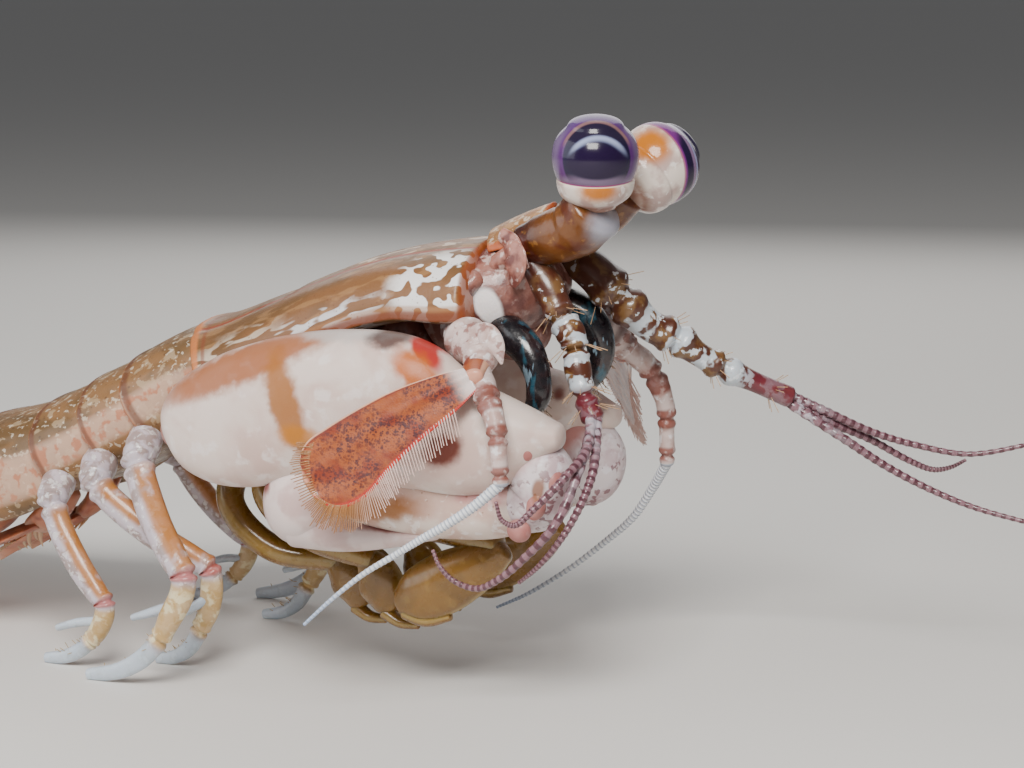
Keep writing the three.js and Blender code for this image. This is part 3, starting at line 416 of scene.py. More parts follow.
def soft_step(tree: bpy.types.NodeTree, value: Socket, low: Socket | float, high: Socket | float) -> Socket:
    """A soft step from 0 where the value is low to 1 where it is high."""
    return add_node(tree, "MapRange", {"Value": value, "From Min": low, "From Max": high},
                    interpolation_type="SMOOTHSTEP").outputs[0]


def rgb(code: int) -> tuple[float, float, float, float]:
    """A screen colour such as 0xc2703a as the linear values that shaders take."""
    parts = [((code >> shift) & 255) / 255 for shift in (16, 8, 0)]
    return (*[c / 12.92 if c <= 0.04045 else ((c + 0.055) / 1.055) ** 2.4 for c in parts], 1.0)


Recipe = Callable[[bpy.types.NodeTree, dict[str, Socket]], Socket]


def shared(output: str, **inputs: float | Row) -> Callable[[Recipe], Callable[[], bpy.types.NodeTree]]:
    """Makes a recipe into a node group that is built once, when it is first asked for.

    Args:
        output: The name of the group's one output.
        inputs: The default of each input by its name: a number or a triple.

    Returns:
        The decorator.
    """
    def wrap(recipe: Recipe) -> Callable[[], bpy.types.NodeTree]:
        """Puts off the building of one recipe's group until it is asked for.

        Args:
            recipe: Adds the nodes and returns the socket that is the group's output.

        Returns:
            A function that gives the group.
        """
        @cache
        def build() -> bpy.types.NodeTree:
            """The group, made on the first call.

            Returns:
                The group.
            """
            tree = bpy.data.node_groups.new(recipe.__name__, "ShaderNodeTree")
            for label, value in inputs.items():
                kind = "NodeSocketFloat" if isinstance(value, float) else "NodeSocketVector"
                tree.interface.new_socket(name=label, in_out="INPUT", socket_type=kind).default_value = value
            tree.interface.new_socket(name=output, in_out="OUTPUT", socket_type="NodeSocketFloat")
            source, sink = tree.nodes.new("NodeGroupInput"), tree.nodes.new("NodeGroupOutput")
            given = {label: source.outputs[label] for label in inputs}
            tree.links.new(recipe(tree, given), sink.inputs[output])
            return tree
        return build
    return wrap


NOWHERE = (0.0, 0.0, 0.0)


class Groups:
    """Shader node groups that the materials share."""

    @staticmethod
    @shared("Mask", Place=NOWHERE, Centre=NOWHERE, Radii=(1.0, 1.0, 1.0), Turn=0.0, Edge=0.3, Ragged=0.5)
    def patch(tree: bpy.types.NodeTree, given: dict[str, Socket]) -> Socket:
        """A soft oval patch with a ragged edge.

        Args:
            tree: The group's tree.
            given: The group's inputs by name.

        Returns:
            The output.
        """
        wander = add_node(tree, "TexNoise", {"Vector": given["Place"], "Scale": 0.9, "Detail": 3.0})
        centred = vector(tree, "SUBTRACT", wander.outputs["Color"], (0.5, 0.5, 0.5))
        scaled = add_node(tree, "VectorMath", {0: centred, "Scale": given["Ragged"]},
                          operation="SCALE").outputs[0]
        away = vector(tree, "SUBTRACT", vector(tree, "ADD", given["Place"], scaled), given["Centre"])
        turned = add_node(tree, "VectorRotate", {"Vector": away, "Angle": given["Turn"]},
                          rotation_type="Y_AXIS")
        far = vector(tree, "LENGTH", vector(tree, "DIVIDE", turned.outputs[0], given["Radii"]))
        outer, inner = (number(tree, way, 1.0, given["Edge"]) for way in ("ADD", "SUBTRACT"))
        return soft_step(tree, far, outer, inner)

    @staticmethod
    @shared("Mask", Place=NOWHERE, Stretch=(1.0, 1.0, 1.0), Turn=0.0, Scale=0.5, Low=0.5, High=0.6,
            Detail=3.0)
    def mottle(tree: bpy.types.NodeTree, given: dict[str, Socket]) -> Socket:
        """Cloudy spots between two levels of noise.

        Args:
            tree: The group's tree.
            given: The group's inputs by name.

        Returns:
            The output.
        """
        turned = add_node(tree, "VectorRotate", {"Vector": given["Place"], "Angle": given["Turn"]},
                          rotation_type="Y_AXIS")
        drawn = vector(tree, "MULTIPLY", turned.outputs[0], given["Stretch"])
        cloud = add_node(tree, "TexNoise", {
            "Vector": drawn, "Scale": given["Scale"], "Detail": given["Detail"], "Distortion": 0.2})
        return soft_step(tree, cloud.outputs["Fac"], given["Low"], given["High"])

    @staticmethod
    @shared("Mask", Place=NOWHERE, Scale=2.0, Size=0.3)
    def speckle(tree: bpy.types.NodeTree, given: dict[str, Socket]) -> Socket:
        """Small uneven dots.

        Args:
            tree: The group's tree.
            given: The group's inputs by name.

        Returns:
            The output.
        """
        cells = add_node(tree, "TexVoronoi", {"Vector": given["Place"], "Scale": given["Scale"]})
        split = add_node(tree, "SeparateColor", {0: cells.outputs["Color"]})
        size = number(tree, "MULTIPLY", given["Size"], split.outputs[0])
        return soft_step(tree, cells.outputs["Distance"], size, number(tree, "MULTIPLY", size, 0.6))

    @staticmethod
    @shared("Mask", Along=0.0, Place=NOWHERE, Count=8.0, Share=0.5, Wobble=0.2, Start=0.0)
    def bands(tree: bpy.types.NodeTree, given: dict[str, Socket]) -> Socket:
        """Uneven rings along a limb.

        Args:
            tree: The group's tree.
            given: The group's inputs by name.

        Returns:
            The output.
        """
        cloud = add_node(tree, "TexNoise", {"Vector": given["Place"], "Scale": 0.7, "Detail": 2.0})
        shift = number(tree, "MULTIPLY", cloud.outputs["Fac"], given["Wobble"])
        run = number(tree, "MULTIPLY_ADD", given["Along"], given["Count"], given["Start"])
        moved = number(tree, "ADD", run, shift)
        wave = number(tree, "MULTIPLY", number(tree, "PINGPONG", moved, 0.5), 2.0)
        return soft_step(tree, wave, number(tree, "ADD", given["Share"], 0.12), given["Share"])

    @staticmethod
    @shared("Height", Place=NOWHERE, Fine=6.0, Coarse=0.8, Pores=0.3)
    def relief(tree: bpy.types.NodeTree, given: dict[str, Socket]) -> Socket:
        """Height of fine pores and soft dents.

        Args:
            tree: The group's tree.
            given: The group's inputs by name.

        Returns:
            The output.
        """
        fine = add_node(tree, "TexNoise", {"Vector": given["Place"], "Scale": given["Fine"], "Detail": 2.0})
        coarse = add_node(tree, "TexNoise", {"Vector": given["Place"], "Scale": given["Coarse"],
                                             "Detail": 3.0})
        pores = add_node(tree, "TexVoronoi", {"Vector": given["Place"], "Scale": given["Fine"]})
        deep = number(tree, "MULTIPLY", pores.outputs["Distance"], given["Pores"])
        weight = number(tree, "MULTIPLY_ADD", fine.outputs["Fac"], 0.25, deep)
        return number(tree, "ADD", coarse.outputs["Fac"], weight)


@dataclass(frozen=True)
class Finish:
    """How a surface reflects, whatever its colours."""

    roughness: float = 0.36
    uneven: float = 0.12
    coat: float = 0.3
    coat_roughness: float = 0.12
    subsurface: float = 0.0
    shine: float = 0.5
    bump: float = 0.35
    depth: float = 0.12
    fine: float = 6.0
    coarse: float = 0.8
    pores: float = 0.3


class Paint:
    """A material built up in layers of colour over one ground colour."""

    REFRACTION = 1.5
    SCATTER = 0.0012
    REDDER = (1.0, 0.6, 0.4)

    def __init__(self, name: str, ground: int, finish: Finish = Finish(), side: Side = Side.RIGHT,
                 shift: Row = NOWHERE) -> None:
        """Starts a paint.

        Args:
            name: The material's name.
            ground: The screen colour under all layers.
            finish: How the surface reflects.
            side: Left mirrors the places, so that right-side places paint a left piece.
            shift: How far the mirrored piece was moved.
        """
        self.material = bpy.data.materials.new(name)
        self.material.use_nodes = True
        self.tree = self.material.node_tree
        self.tree.nodes.clear()
        self.finish = finish
        flip, thousand = side.value, 1 / MM
        frame_place = add_node(self.tree, "TexCoord").outputs["Object"]
        start = (ORIGIN.x - shift[0], flip * (ORIGIN.y - shift[1]), ORIGIN.z - shift[2])
        self.place = vector(self.tree, "MULTIPLY_ADD", frame_place, (thousand, flip * thousand, thousand),
                            start)
        self.along = add_node(self.tree, "Attribute", attribute_name="along").outputs["Fac"]
        self.aside = add_node(self.tree, "Attribute", attribute_name="aside").outputs["Fac"]
        self.colour: Socket | tuple = rgb(ground)

    def over(self, mask: Socket, colour: int, strength: float = 1.0) -> None:
        """Lays a colour over the ones below.

        Args:
            mask: Where it lies.
            colour: The screen colour.
            strength: How much of it covers.
        """
        if strength < 1:
            mask = number(self.tree, "MULTIPLY", mask, strength)
        mix = add_node(self.tree, "Mix", {0: mask, 6: self.colour, 7: rgb(colour)}, data_type="RGBA")
        self.colour = mix.outputs[2]

    def group(self, tree: bpy.types.NodeTree, **inputs: Socket | float | Row) -> Socket:
        """Places a shared group on this paint's place and returns its output.

        Args:
            tree: The group.
            inputs: What its sockets take.

        Returns:
            The group's output.
        """
        node = add_node(self.tree, "Group", node_tree=tree)
        for key, value in {"Place": self.place, **inputs}.items():
            if isinstance(value, Socket):
                self.tree.links.new(value, node.inputs[key])
            else:
                node.inputs[key].default_value = value
        return node.outputs[0]

    def times(self, *masks: Socket) -> Socket:
        """The product of masks."""
        return reduce(lambda one, two: number(self.tree, "MULTIPLY", one, two), masks)

    def patch(self, centre: Row, radii: Row, turn: float = 0.0, edge: float = 0.3,
              ragged: float = 0.6) -> Socket:
        """A mask of a soft oval patch; turn is in degrees, nose up."""
        return self.group(Groups.patch(), Centre=centre, Radii=radii, Turn=math.radians(turn), Edge=edge,
                          Ragged=ragged)

    def mottle(self, scale: float, low: float, high: float, stretch: Row = (1, 1, 1), detail: float = 3.0,
               turn: float = 0.0) -> Socket:
        """A mask of cloudy spots, stretched after a turn in degrees."""
        return self.group(Groups.mottle(), Stretch=stretch, Turn=math.radians(turn), Scale=scale, Low=low,
                          High=high, Detail=detail)

    def speckle(self, scale: float, size: float) -> Socket:
        """A mask of small dots."""
        return self.group(Groups.speckle(), Scale=scale, Size=size)

    def bands(self, count: float, share: float, wobble: float = 0.3, start: float = 0.0) -> Socket:
        """A mask of rings along a limb, moved on by start."""
        return self.group(Groups.bands(), Along=self.along, Count=count, Share=share, Wobble=wobble,
                          Start=start)

    def ramp(self, low: float, high: float, value: Optional[Socket] = None) -> Socket:
        """A soft step of the along value, or of another one, from 0 at low to 1 at high."""
        return soft_step(self.tree, self.along if value is None else value, low, high)

    def size(self, value: Socket) -> Socket:
        """A value without its sign."""
        return number(self.tree, "ABSOLUTE", value)

    def away(self, centre: Vector, way: Vector) -> Socket:
        """How far the place lies from a centre along a direction."""
        return vector(self.tree, "DOT_PRODUCT", vector(self.tree, "SUBTRACT", self.place, tuple(centre)),
                      tuple(way))

    def oval(self, centre: Vector, across: Vector, upward: Vector, half: Row) -> Socket:
        """Distance from a line through the centre, 1 on an oval cylinder round it.

        Args:
            centre: A place on the line.
            across: The oval's first direction.
            upward: Its second direction.
            half: Its half sizes along them.

        Returns:
            The distance.
        """
        parts = [self.away(centre, way / size) for way, size in zip((across, upward), half)]
        flat = add_node(self.tree, "CombineXYZ", {0: parts[0], 1: parts[1]})
        return vector(self.tree, "LENGTH", flat.outputs[0])

    def axis(self, letter: str) -> Socket:
        """One coordinate of the place in millimetres."""
        return add_node(self.tree, "SeparateXYZ", {0: self.place}).outputs[letter]

    def done(self) -> bpy.types.Material:
        """Joins the layers to the shader.

        Returns:
            The finished material.
        """
        finish = self.finish
        cloud = self.mottle(1.3, 0.3, 0.7)
        height = self.group(Groups.relief(), Fine=finish.fine, Coarse=finish.coarse, Pores=finish.pores)
        bump = add_node(self.tree, "Bump", {
            "Strength": finish.bump, "Distance": finish.depth * MM, "Height": height})
        shader = add_node(self.tree, "BsdfPrincipled", {
            "Base Color": self.colour, "Normal": bump.outputs[0],
            "Roughness": number(self.tree, "MULTIPLY_ADD", cloud, finish.uneven, finish.roughness),
            "IOR": self.REFRACTION, "Specular IOR Level": finish.shine,
            "Coat Weight": finish.coat, "Coat Roughness": finish.coat_roughness,
            "Subsurface Weight": finish.subsurface, "Subsurface Scale": self.SCATTER,
            "Subsurface Radius": self.REDDER})
        end = add_node(self.tree, "OutputMaterial")
        self.tree.links.new(shader.outputs[0], end.inputs[0])
        return self.material


# Finishes

SHELL = Finish(roughness=0.42, coat=0.22, coat_roughness=0.2, bump=0.4, depth=0.1, fine=5.0)
PORCELAIN = Finish(roughness=0.34, coat=0.1, coat_roughness=0.2, subsurface=0.1, shine=0.2, bump=0.25,
                   depth=0.08, coarse=0.5)
FLESH = Finish(roughness=0.4, coat=0.4, subsurface=0.2, bump=0.45, depth=0.15, coarse=1.2)
GLASSY = Finish(roughness=0.2, uneven=0.03, coat=0.3, coat_roughness=0.05, shine=0.25, bump=0.05, depth=0.02,
                fine=14.0, pores=0.5)
CHALK = Finish(roughness=0.5, coat=0.15, bump=0.5, depth=0.08, fine=7.0, coarse=2.0)
HORN = Finish(roughness=0.3, coat=0.4, subsurface=0.15, bump=0.35, depth=0.06, fine=7.0, coarse=2.0)
INK = Finish(roughness=0.22, coat=0.6, bump=0.4, depth=0.08, fine=5.0, coarse=1.6)
BLADE = Finish(roughness=0.36, coat=0.35, bump=0.4, depth=0.06, fine=8.0)
AMBER = Finish(roughness=0.22, coat=0.55, subsurface=0.4, bump=0.25, depth=0.06)
LEAF = Finish(roughness=0.36, coat=0.35, subsurface=0.35, bump=0.3, depth=0.06)


def mirrored(stations: Sequence[Row], side: Side, shift: Row = (0, 0, 0)) -> list[tuple[float, ...]]:
    """Right-side stations on either side, moved by a shift."""
    return [(x + shift[0], side.value * y + shift[1], z + shift[2], *rest) for x, y, z, *rest in stations]


# The trunk

@dataclass
class Trunk:
    """The plates of the back, from the carapace to the last abdomen segment."""

    start: Row = (26.7, 36.2)
    carapace_run: Sequence[Row] = ((4.6, 7), (4.6, 12.5), (4.9, 20), (5.1, 23), (5.2, 21), (3.6, 17))
    thorax_run: Sequence[Row] = ((5.9, 28), (4.4, 28), (5.0, 26))
    abdomen_run: Sequence[Row] = ((8.5, 17), (9.0, 8), (9.3, 3), (9.6, 3), (10.4, 10), (8.4, 21))
    telson_run: Sequence[Row] = ((15.0, 30),)
    half_width: Sequence[Row] = ((-6, 8.4), (0, 9.4), (15, 10.3), (26, 11.2), (45, 11.7), (58, 11.3),
                                 (71, 9.6))
    rise: Sequence[Row] = ((-6, 4.4), (0, 4.6), (20, 4.9), (50, 4.8), (60, 4.4), (71, 3.6))
    keel: Sequence[Row] = ((-6, 4.4), (0, 4.4), (20, 3.9), (50, 3.8), (60, 3.4), (71, 2.6))
    pleuron_drop: float = 1.9
    overlap: float = 0.9
    carapace_half_width: Sequence[Row] = ((0, 10.3), (0.45, 9.9), (0.8, 9.3), (1, 8.7))
    carapace_height: Sequence[Row] = ((0, 5.6), (0.2, 5.1), (0.55, 5.0), (0.78, 5.1), (0.92, 5.7), (1, 5.8))
    carapace_underside: float = 0.7
    corner_advance: float = 2.9
    groove: Sequence[Row] = ((0.05, 5.4), (0.5, 5.0), (1.0, 3.9))
    spine_places: Sequence[float] = (-7.6, -4.6, -1.6, 1.6, 4.6, 7.6)
    samples: int = 900
    line: list[Vector] = field(default_factory=list)

    def __post_init__(self) -> None:
        """Lays out the back line."""
        point = Vector((self.start[0], 0, self.start[1]))
        points = [point.copy()]
        for length, pitch in (*self.carapace_run, *self.thorax_run, *self.abdomen_run, *self.telson_run):
            point += Vector((-math.cos(math.radians(pitch)), 0, -math.sin(math.radians(pitch)))) * length
            points.append(point.copy())
        curve = Spline([tuple(p) for p in points])
        self.line = [curve.point(index / self.samples) for index in range(self.samples + 1)]
        self.carapace_length = sum(length for length, _ in self.carapace_run)
        self.length = self.carapace_length + sum(
            length for run in (self.thorax_run, self.abdomen_run, self.telson_run) for length, _ in run)
        self.reach = [0.0]
        for one, two in zip(self.line, self.line[1:]):
            self.reach.append(self.reach[-1] + (two - one).length)

    def on_back(self, behind: float) -> tuple[Vector, Vector, Vector]:
        """Finds a place on the back.

        Args:
            behind: Millimetres behind the carapace's rear margin.

        Returns:
            Place, forward direction and outward direction of the back.
        """
        goal = min(max((behind + self.carapace_length) / self.length, 0.0), 1.0) * self.reach[-1]
        low, high = 0, len(self.line) - 2
        while low < high:
            middle = (low + high + 1) // 2
            low, high = (middle, high) if self.reach[middle] <= goal else (low, middle - 1)
        share = (goal - self.reach[low]) / (self.reach[low + 1] - self.reach[low])
        point = self.line[low].lerp(self.line[low + 1], share)
        before, after = self.line[max(low - 3, 0)], self.line[min(low + 4, len(self.line) - 1)]
        ahead = (before - after).normalized()
        return point, ahead, Vector((-ahead.z, 0, ahead.x))

    def section(self, behind: float, swell: float) -> Section:
        """The trunk's slice at that distance behind the carapace.

        Args:
            behind: Millimetres behind the carapace's rear margin.
            swell: Its size as a share of the trunk there.

        Returns:
            The section.
        """
        point, ahead, up = self.on_back(behind)
        rise = read(self.rise, behind)
        return Section(point - up * rise, ahead, up, read(self.half_width, behind) * swell, rise * swell,
                       read(self.keel, behind) / (rise * swell), 2.3)

    def ring(self, node: str, start: float, end: float, drop: float) -> Sculpt:
        """One segment with a hollow waist, a rolled rear rim and drooping side flaps.

        Args:
            node: The solid that it stands for.
            start, end: Where it begins and ends behind the carapace.
            drop: How far its sides droop.

        Returns:
            The growing piece.
        """
        piece = Sculpt(node, "shell")

        def at(share: float) -> Section:
            """The ring's section there.

            Args:
                share: 0 at the first slice and 1 at the last.

            Returns:
                The section.
            """
            rim = 0.012 * smoothstep(share, 0.86, 0.93) * (1 - smoothstep(share, 0.97, 1.0))
            return self.section(start + (end - start) * share,
                                0.93 + 0.07 * math.sin(share * math.pi / 2) + rim)

        def shape(share: float, angle: float, out: float, rise: float) -> tuple[float, float]:
            """Lets the sides hang as rounded flaps and presses a line between back and side.

            Args:
                share: 0 at the first slice and 1 at the last.
                angle: The point's angle round the slice.
                out: Its distance aside.
                rise: Its height over the middle.

            Returns:
                The new distance aside and height.
            """
            reach = abs(out) / read(self.half_width, (start + end) / 2)
            if math.sin(angle) > 0:
                crease = math.exp(-((reach - 0.86) / 0.035) ** 2) * smoothstep(share, 0.1, 0.3) * 0.16
                return out * (1 - crease * 0.06), rise - crease
            if math.sin(angle) > -0.05:
                return out, rise
            flap = smoothstep(reach, 0.62, 0.88) * (0.55 + 0.45 * math.sin(math.pi * (0.2 + 0.7 * share)))
            hollow = 0.5 * smoothstep(0.62 - reach, 0.0, 0.3)
            return out * (1 - 0.03 * flap), rise - drop * flap + hollow

        piece.skin(at, steps=26, sides=64, caps=(0.0, 0.0), shape=shape)
        return piece

    def build_carapace(self, paint: bpy.types.Material) -> None:
        """The shield, with its two long grooves, rolled margins and hollow rear edge.

        Args:
            paint: The material.
        """
        piece = Sculpt("carapace", "shell")

        def at(share: float) -> Section:
            """The carapace's section there.

            Args:
                share: 0 at the first slice and 1 at the last.

            Returns:
                The section.
            """
            point, ahead, up = self.on_back(-self.carapace_length * share)
            height = read(self.carapace_height, share)
            return Section(point - up * height, ahead, up, read(self.carapace_half_width, share), height,
                           self.carapace_underside / height, 2.25)

        def shape(share: float, angle: float, out: float, rise: float) -> tuple[float, float]:
            """Presses the grooves and rolls the margins.

            Args:
                share: 0 at the first slice and 1 at the last.
                angle: The point's angle round the slice.
                out: Its distance aside.
                rise: Its height over the middle.

            Returns:
                The new distance aside and height.
            """
            if math.sin(angle) < 0:
                return out, rise
            aside = abs(out)
            groove = math.exp(-((aside - read(self.groove, share)) / 0.3) ** 2) * 0.2
            swell = 0.16 * math.exp(-((aside - 7.6) / 1.2) ** 2) * smoothstep(share, 0.2, 0.6)
            collar = 0.14 * math.exp(-((share - 0.035) / 0.018) ** 2)
            dent = 0.22 * math.exp(-((share - 0.36) / 0.03) ** 2) * math.exp(-((aside - 2.6) / 1.8) ** 2)
            low = 0.05 * noise.noise(Vector((share * 9, out * 0.45, 2.0)))
            return out * (1 + 0.01 * collar), rise - groove + swell + collar - dent + low

        piece.skin(at, steps=72, sides=96, caps=(0.0, 0.0), shape=shape)
        for vert in piece.mesh.verts:
            near = min(max(1 - vert.co.x / 11, 0.0), 1.0)
            aside = min(abs(vert.co.y) / 10, 1.1)
            vert.co.x += self.corner_advance * near * aside ** 2
        piece.finish(paint)

    def build(self, carapace: bpy.types.Material, back: bpy.types.Material) -> None:
        """The shield, then the rings from front to back.

        Args:
            carapace: The shield's material.
            back: The rings' material.
        """
        self.build_carapace(carapace)
        behind = 0.0
        for index, (length, _) in enumerate(self.thorax_run):
            start = behind - 3.2 if index == 0 else behind - self.overlap
            self.ring(f"thorax_somite_{6 + index}", start, behind + length - 0.1, 0.5).finish(back)
            behind += length
        for index, (length, _) in enumerate(self.abdomen_run):
            last = index == len(self.abdomen_run) - 1
            piece = self.ring(f"abdomen_somite_{index + 1}", behind - self.overlap, behind + length - 0.1,
                              0.9 if last else self.pleuron_drop)
            if last:
                self.add_spines(piece, behind + length)
            piece.finish(back)
            behind += length

    def add_spines(self, piece: Sculpt, rear: float) -> None:
        """The six keeled spines on the last abdomen segment.

        Args:
            piece: The segment.
            rear: Where it ends.
        """
        for y in self.spine_places:
            point, ahead, up = self.on_back(rear - 2.6)
            lift = read(self.rise, rear) * (1 - (1 - (abs(y) / 10) ** 2.3) ** (1 / 2.3))
            root = point - up * (lift + 0.35)
            root.y = y
            rows = [(*(root + ahead * 2.4 - up * 0.1), 0.5), (*root, 0.95),
                    (*(root - ahead * 1.4 + up * 0.15), 0.7), (*(root - ahead * 3.6 + up * 0.25), 0.06)]
            piece.limb(rows, (0, 0, 1), 12, 4)


TRUNK = Trunk()


@dataclass
class Head:
    """The hood over the eyes' roots, the head and the soft front of the thorax."""

    hood: Sequence[Row] = ((26.6, 36.6, 3.4, 1.5), (28.4, 37.5, 3.7, 1.9), (30.4, 38.35, 3.1, 1.9),
                           (31.6, 38.75, 2.1, 1.4))
    hood_half_thickness: float = 0.36
    front: Sequence[Row] = ((1.4, 0, 20.0, 6.6, 4.2), (8, 0, 22.9, 6.7, 4.4), (15, 0, 26.3, 6.5, 4.5),
                            (21.6, 0, 28.9, 6.2, 4.3))
    skull: Sequence[Row] = ((22.6, 0, 29.4, 6.0, 3.7), (26.2, 0, 31.2, 6.3, 4.2), (28.8, 0, 32.4, 5.4, 3.8),
                            (30.8, 0, 33.6, 3.9, 2.6))
    lobe: Sequence[Row] = ((28.4, -3.6, 34.2, 1.2, 1.0), (29.6, -3.9, 35.2, 1.0, 0.8),
                           (30.3, -3.9, 35.7, 0.6, 0.5))
    collar: Sequence[Row] = ((28.6, -3.7, 36.7, 0.6, 0.3), (29.8, -4.2, 36.1, 0.75, 0.3),
                             (30.5, -4.5, 35.2, 0.6, 0.28), (31.1, -4.6, 34.2, 0.4, 0.2))
    ear: Sequence[Row] = ((29.6, -4.9, 36.0, 0.5, 0.2), (30.5, -5.5, 35.3, 1.15, 0.26),
                          (30.7, -5.7, 34.1, 0.95, 0.24), (30.4, -5.5, 32.9, 0.35, 0.16))
    cheek: Sequence[Row] = ((24.0, -5.3, 30.4, 1.2, 1.0), (26.0, -5.6, 32.2, 1.5, 1.1),
                            (27.2, -5.2, 33.4, 1.0, 0.8))
    jaw_centre: Row = (28.3, 0, 28.6)
    jaw_radii: Row = (2.8, 3.2, 2.4)

    def build_hood(self, paint: bpy.types.Material) -> None:
        """A thin arched plate with a bead round its edge.

        Args:
            paint: The material.
        """
        piece = Sculpt("rostral_plate", "rim")
        curve = Spline([(x, 0, z, half, droop) for x, z, half, droop in self.hood])

        def at(share: float) -> Section:
            """A flat slice of the plate.

            Args:
                share: 0 at the first slice and 1 at the last.

            Returns:
                The section.
            """
            x, _, z, half, _ = curve(share)
            ahead = curve.ahead(share)
            round_off = 1 - 0.75 * smoothstep(share, 0.9, 1.0)
            return Section(Vector((x, 0, z)), ahead, Vector((-ahead.z, 0, ahead.x)), half * round_off,
                           self.hood_half_thickness, power=2.6)

        def shape(share: float, angle: float, out: float, rise: float) -> tuple[float, float]:
            """Arches the plate and beads its edge.

            Args:
                share: 0 at the first slice and 1 at the last.
                angle: The point's angle round the slice.
                out: Its distance aside.
                rise: Its height over the middle.

            Returns:
                The new distance aside and height.
            """
            _, _, _, half, droop = curve(share)
            v = out / half
            return out, rise * (1 + 0.35 * smoothstep(abs(v), 0.75, 0.95)) - droop * v * v

        piece.skin(at, steps=24, sides=40, caps=(0.3, 0.3), shape=shape)
        piece.finish(paint)

    def build(self, hood: bpy.types.Material, flesh: bpy.types.Material) -> None:
        """The hood, the soft thorax and the head.

        Args:
            hood: The plate's material.
            flesh: The material of the rest.
        """
        self.build_hood(hood)
        body = Sculpt("thorax_front", "flesh")
        body.limb(self.front, sides=40, per_span=10, caps=(0.3, 0.3), power=2.3, ripple=0.03, seed=2)
        body.finish(flesh)
        head = Sculpt("head", "flesh")
        head.limb(self.skull, sides=40, per_span=9, caps=(0.0, 0.35), power=2.3)
        head.ball(self.jaw_centre, self.jaw_radii)
        for side in Side:
            head.limb(mirrored(self.lobe, side), sides=16)
            head.limb(mirrored(self.cheek, side), sides=18)
            head.limb(mirrored(self.collar, side), (-0.4, -side.value, 0.1), 20, 7)
            head.limb(mirrored(self.ear, side), (-0.3, -side.value, 0.1), 20, 7)
        head.finish(flesh)


@dataclass
class Eyes:
    """Two tall round eyes on bent stalks."""

    profile: Sequence[Row] = ((0, 1.7), (0.8, 2.7), (1.9, 3.05), (2.4, 3.1), (3.1, 3.3), (4.3, 3.35),
                              (5.4, 2.95), (6.2, 2.2))
    waist: float = 2.15
    bases: dict = both((36.5, -3.6, 39.3), (37.0, 1.6, 39.9))
    cup: float = 0.36
    globe_height: float = 3.6
    axes: dict = both((0.06, -0.16, 1.0), (0.42, 0.7, 0.54))
    stalks: dict = both(
        ((30.2, -2.5, 35.7, 1.7), (32.4, -2.9, 36.5, 2.1), (34.6, -3.2, 37.3, 2.3), (36.4, -3.6, 38.9, 2.5)),
        ((30.4, 2.5, 35.8, 1.6), (32.8, 2.4, 36.8, 1.8), (35.2, 2.0, 38.2, 1.8), (36.8, 1.7, 39.8, 1.8)))

    def build(self, side: Side, globe: bpy.types.Material, stalk: bpy.types.Material) -> None:
        """One eye with its waist, and its stalk.

        Args:
            side: Which eye.
            globe: The eye's material.
            stalk: The stalk's material.
        """
        axis = Vector(self.axes[side]).normalized()
        base = Vector(self.bases[side])
        rows = []
        for height, radius in self.profile:
            rows.append((*(base + axis * height), radius))
        across = (0, 1, 0) if side is Side.RIGHT else (0, 0, 1)
        piece = Sculpt(f"eye_{side.word}", "eye")
        piece.limb(rows, across, 48, 6, (0.3, 0.38))
        for vert in piece.mesh.verts:
            height = (vert.co - base).dot(axis)
            middle = base + axis * height
            pinch = 0.035 * math.exp(-((height - self.waist) / 0.16) ** 2)
            vert.co = vert.co.lerp(middle, pinch)
        piece.finish(globe)
        neck = Sculpt(f"eye_stalk_{side.word}", "stalk")
        neck.limb(self.stalks[side], sides=32, per_span=8, caps=(0.3, 0.3), ripple=0.05, seed=side.value)
        neck.finish(stalk)


# Feelers

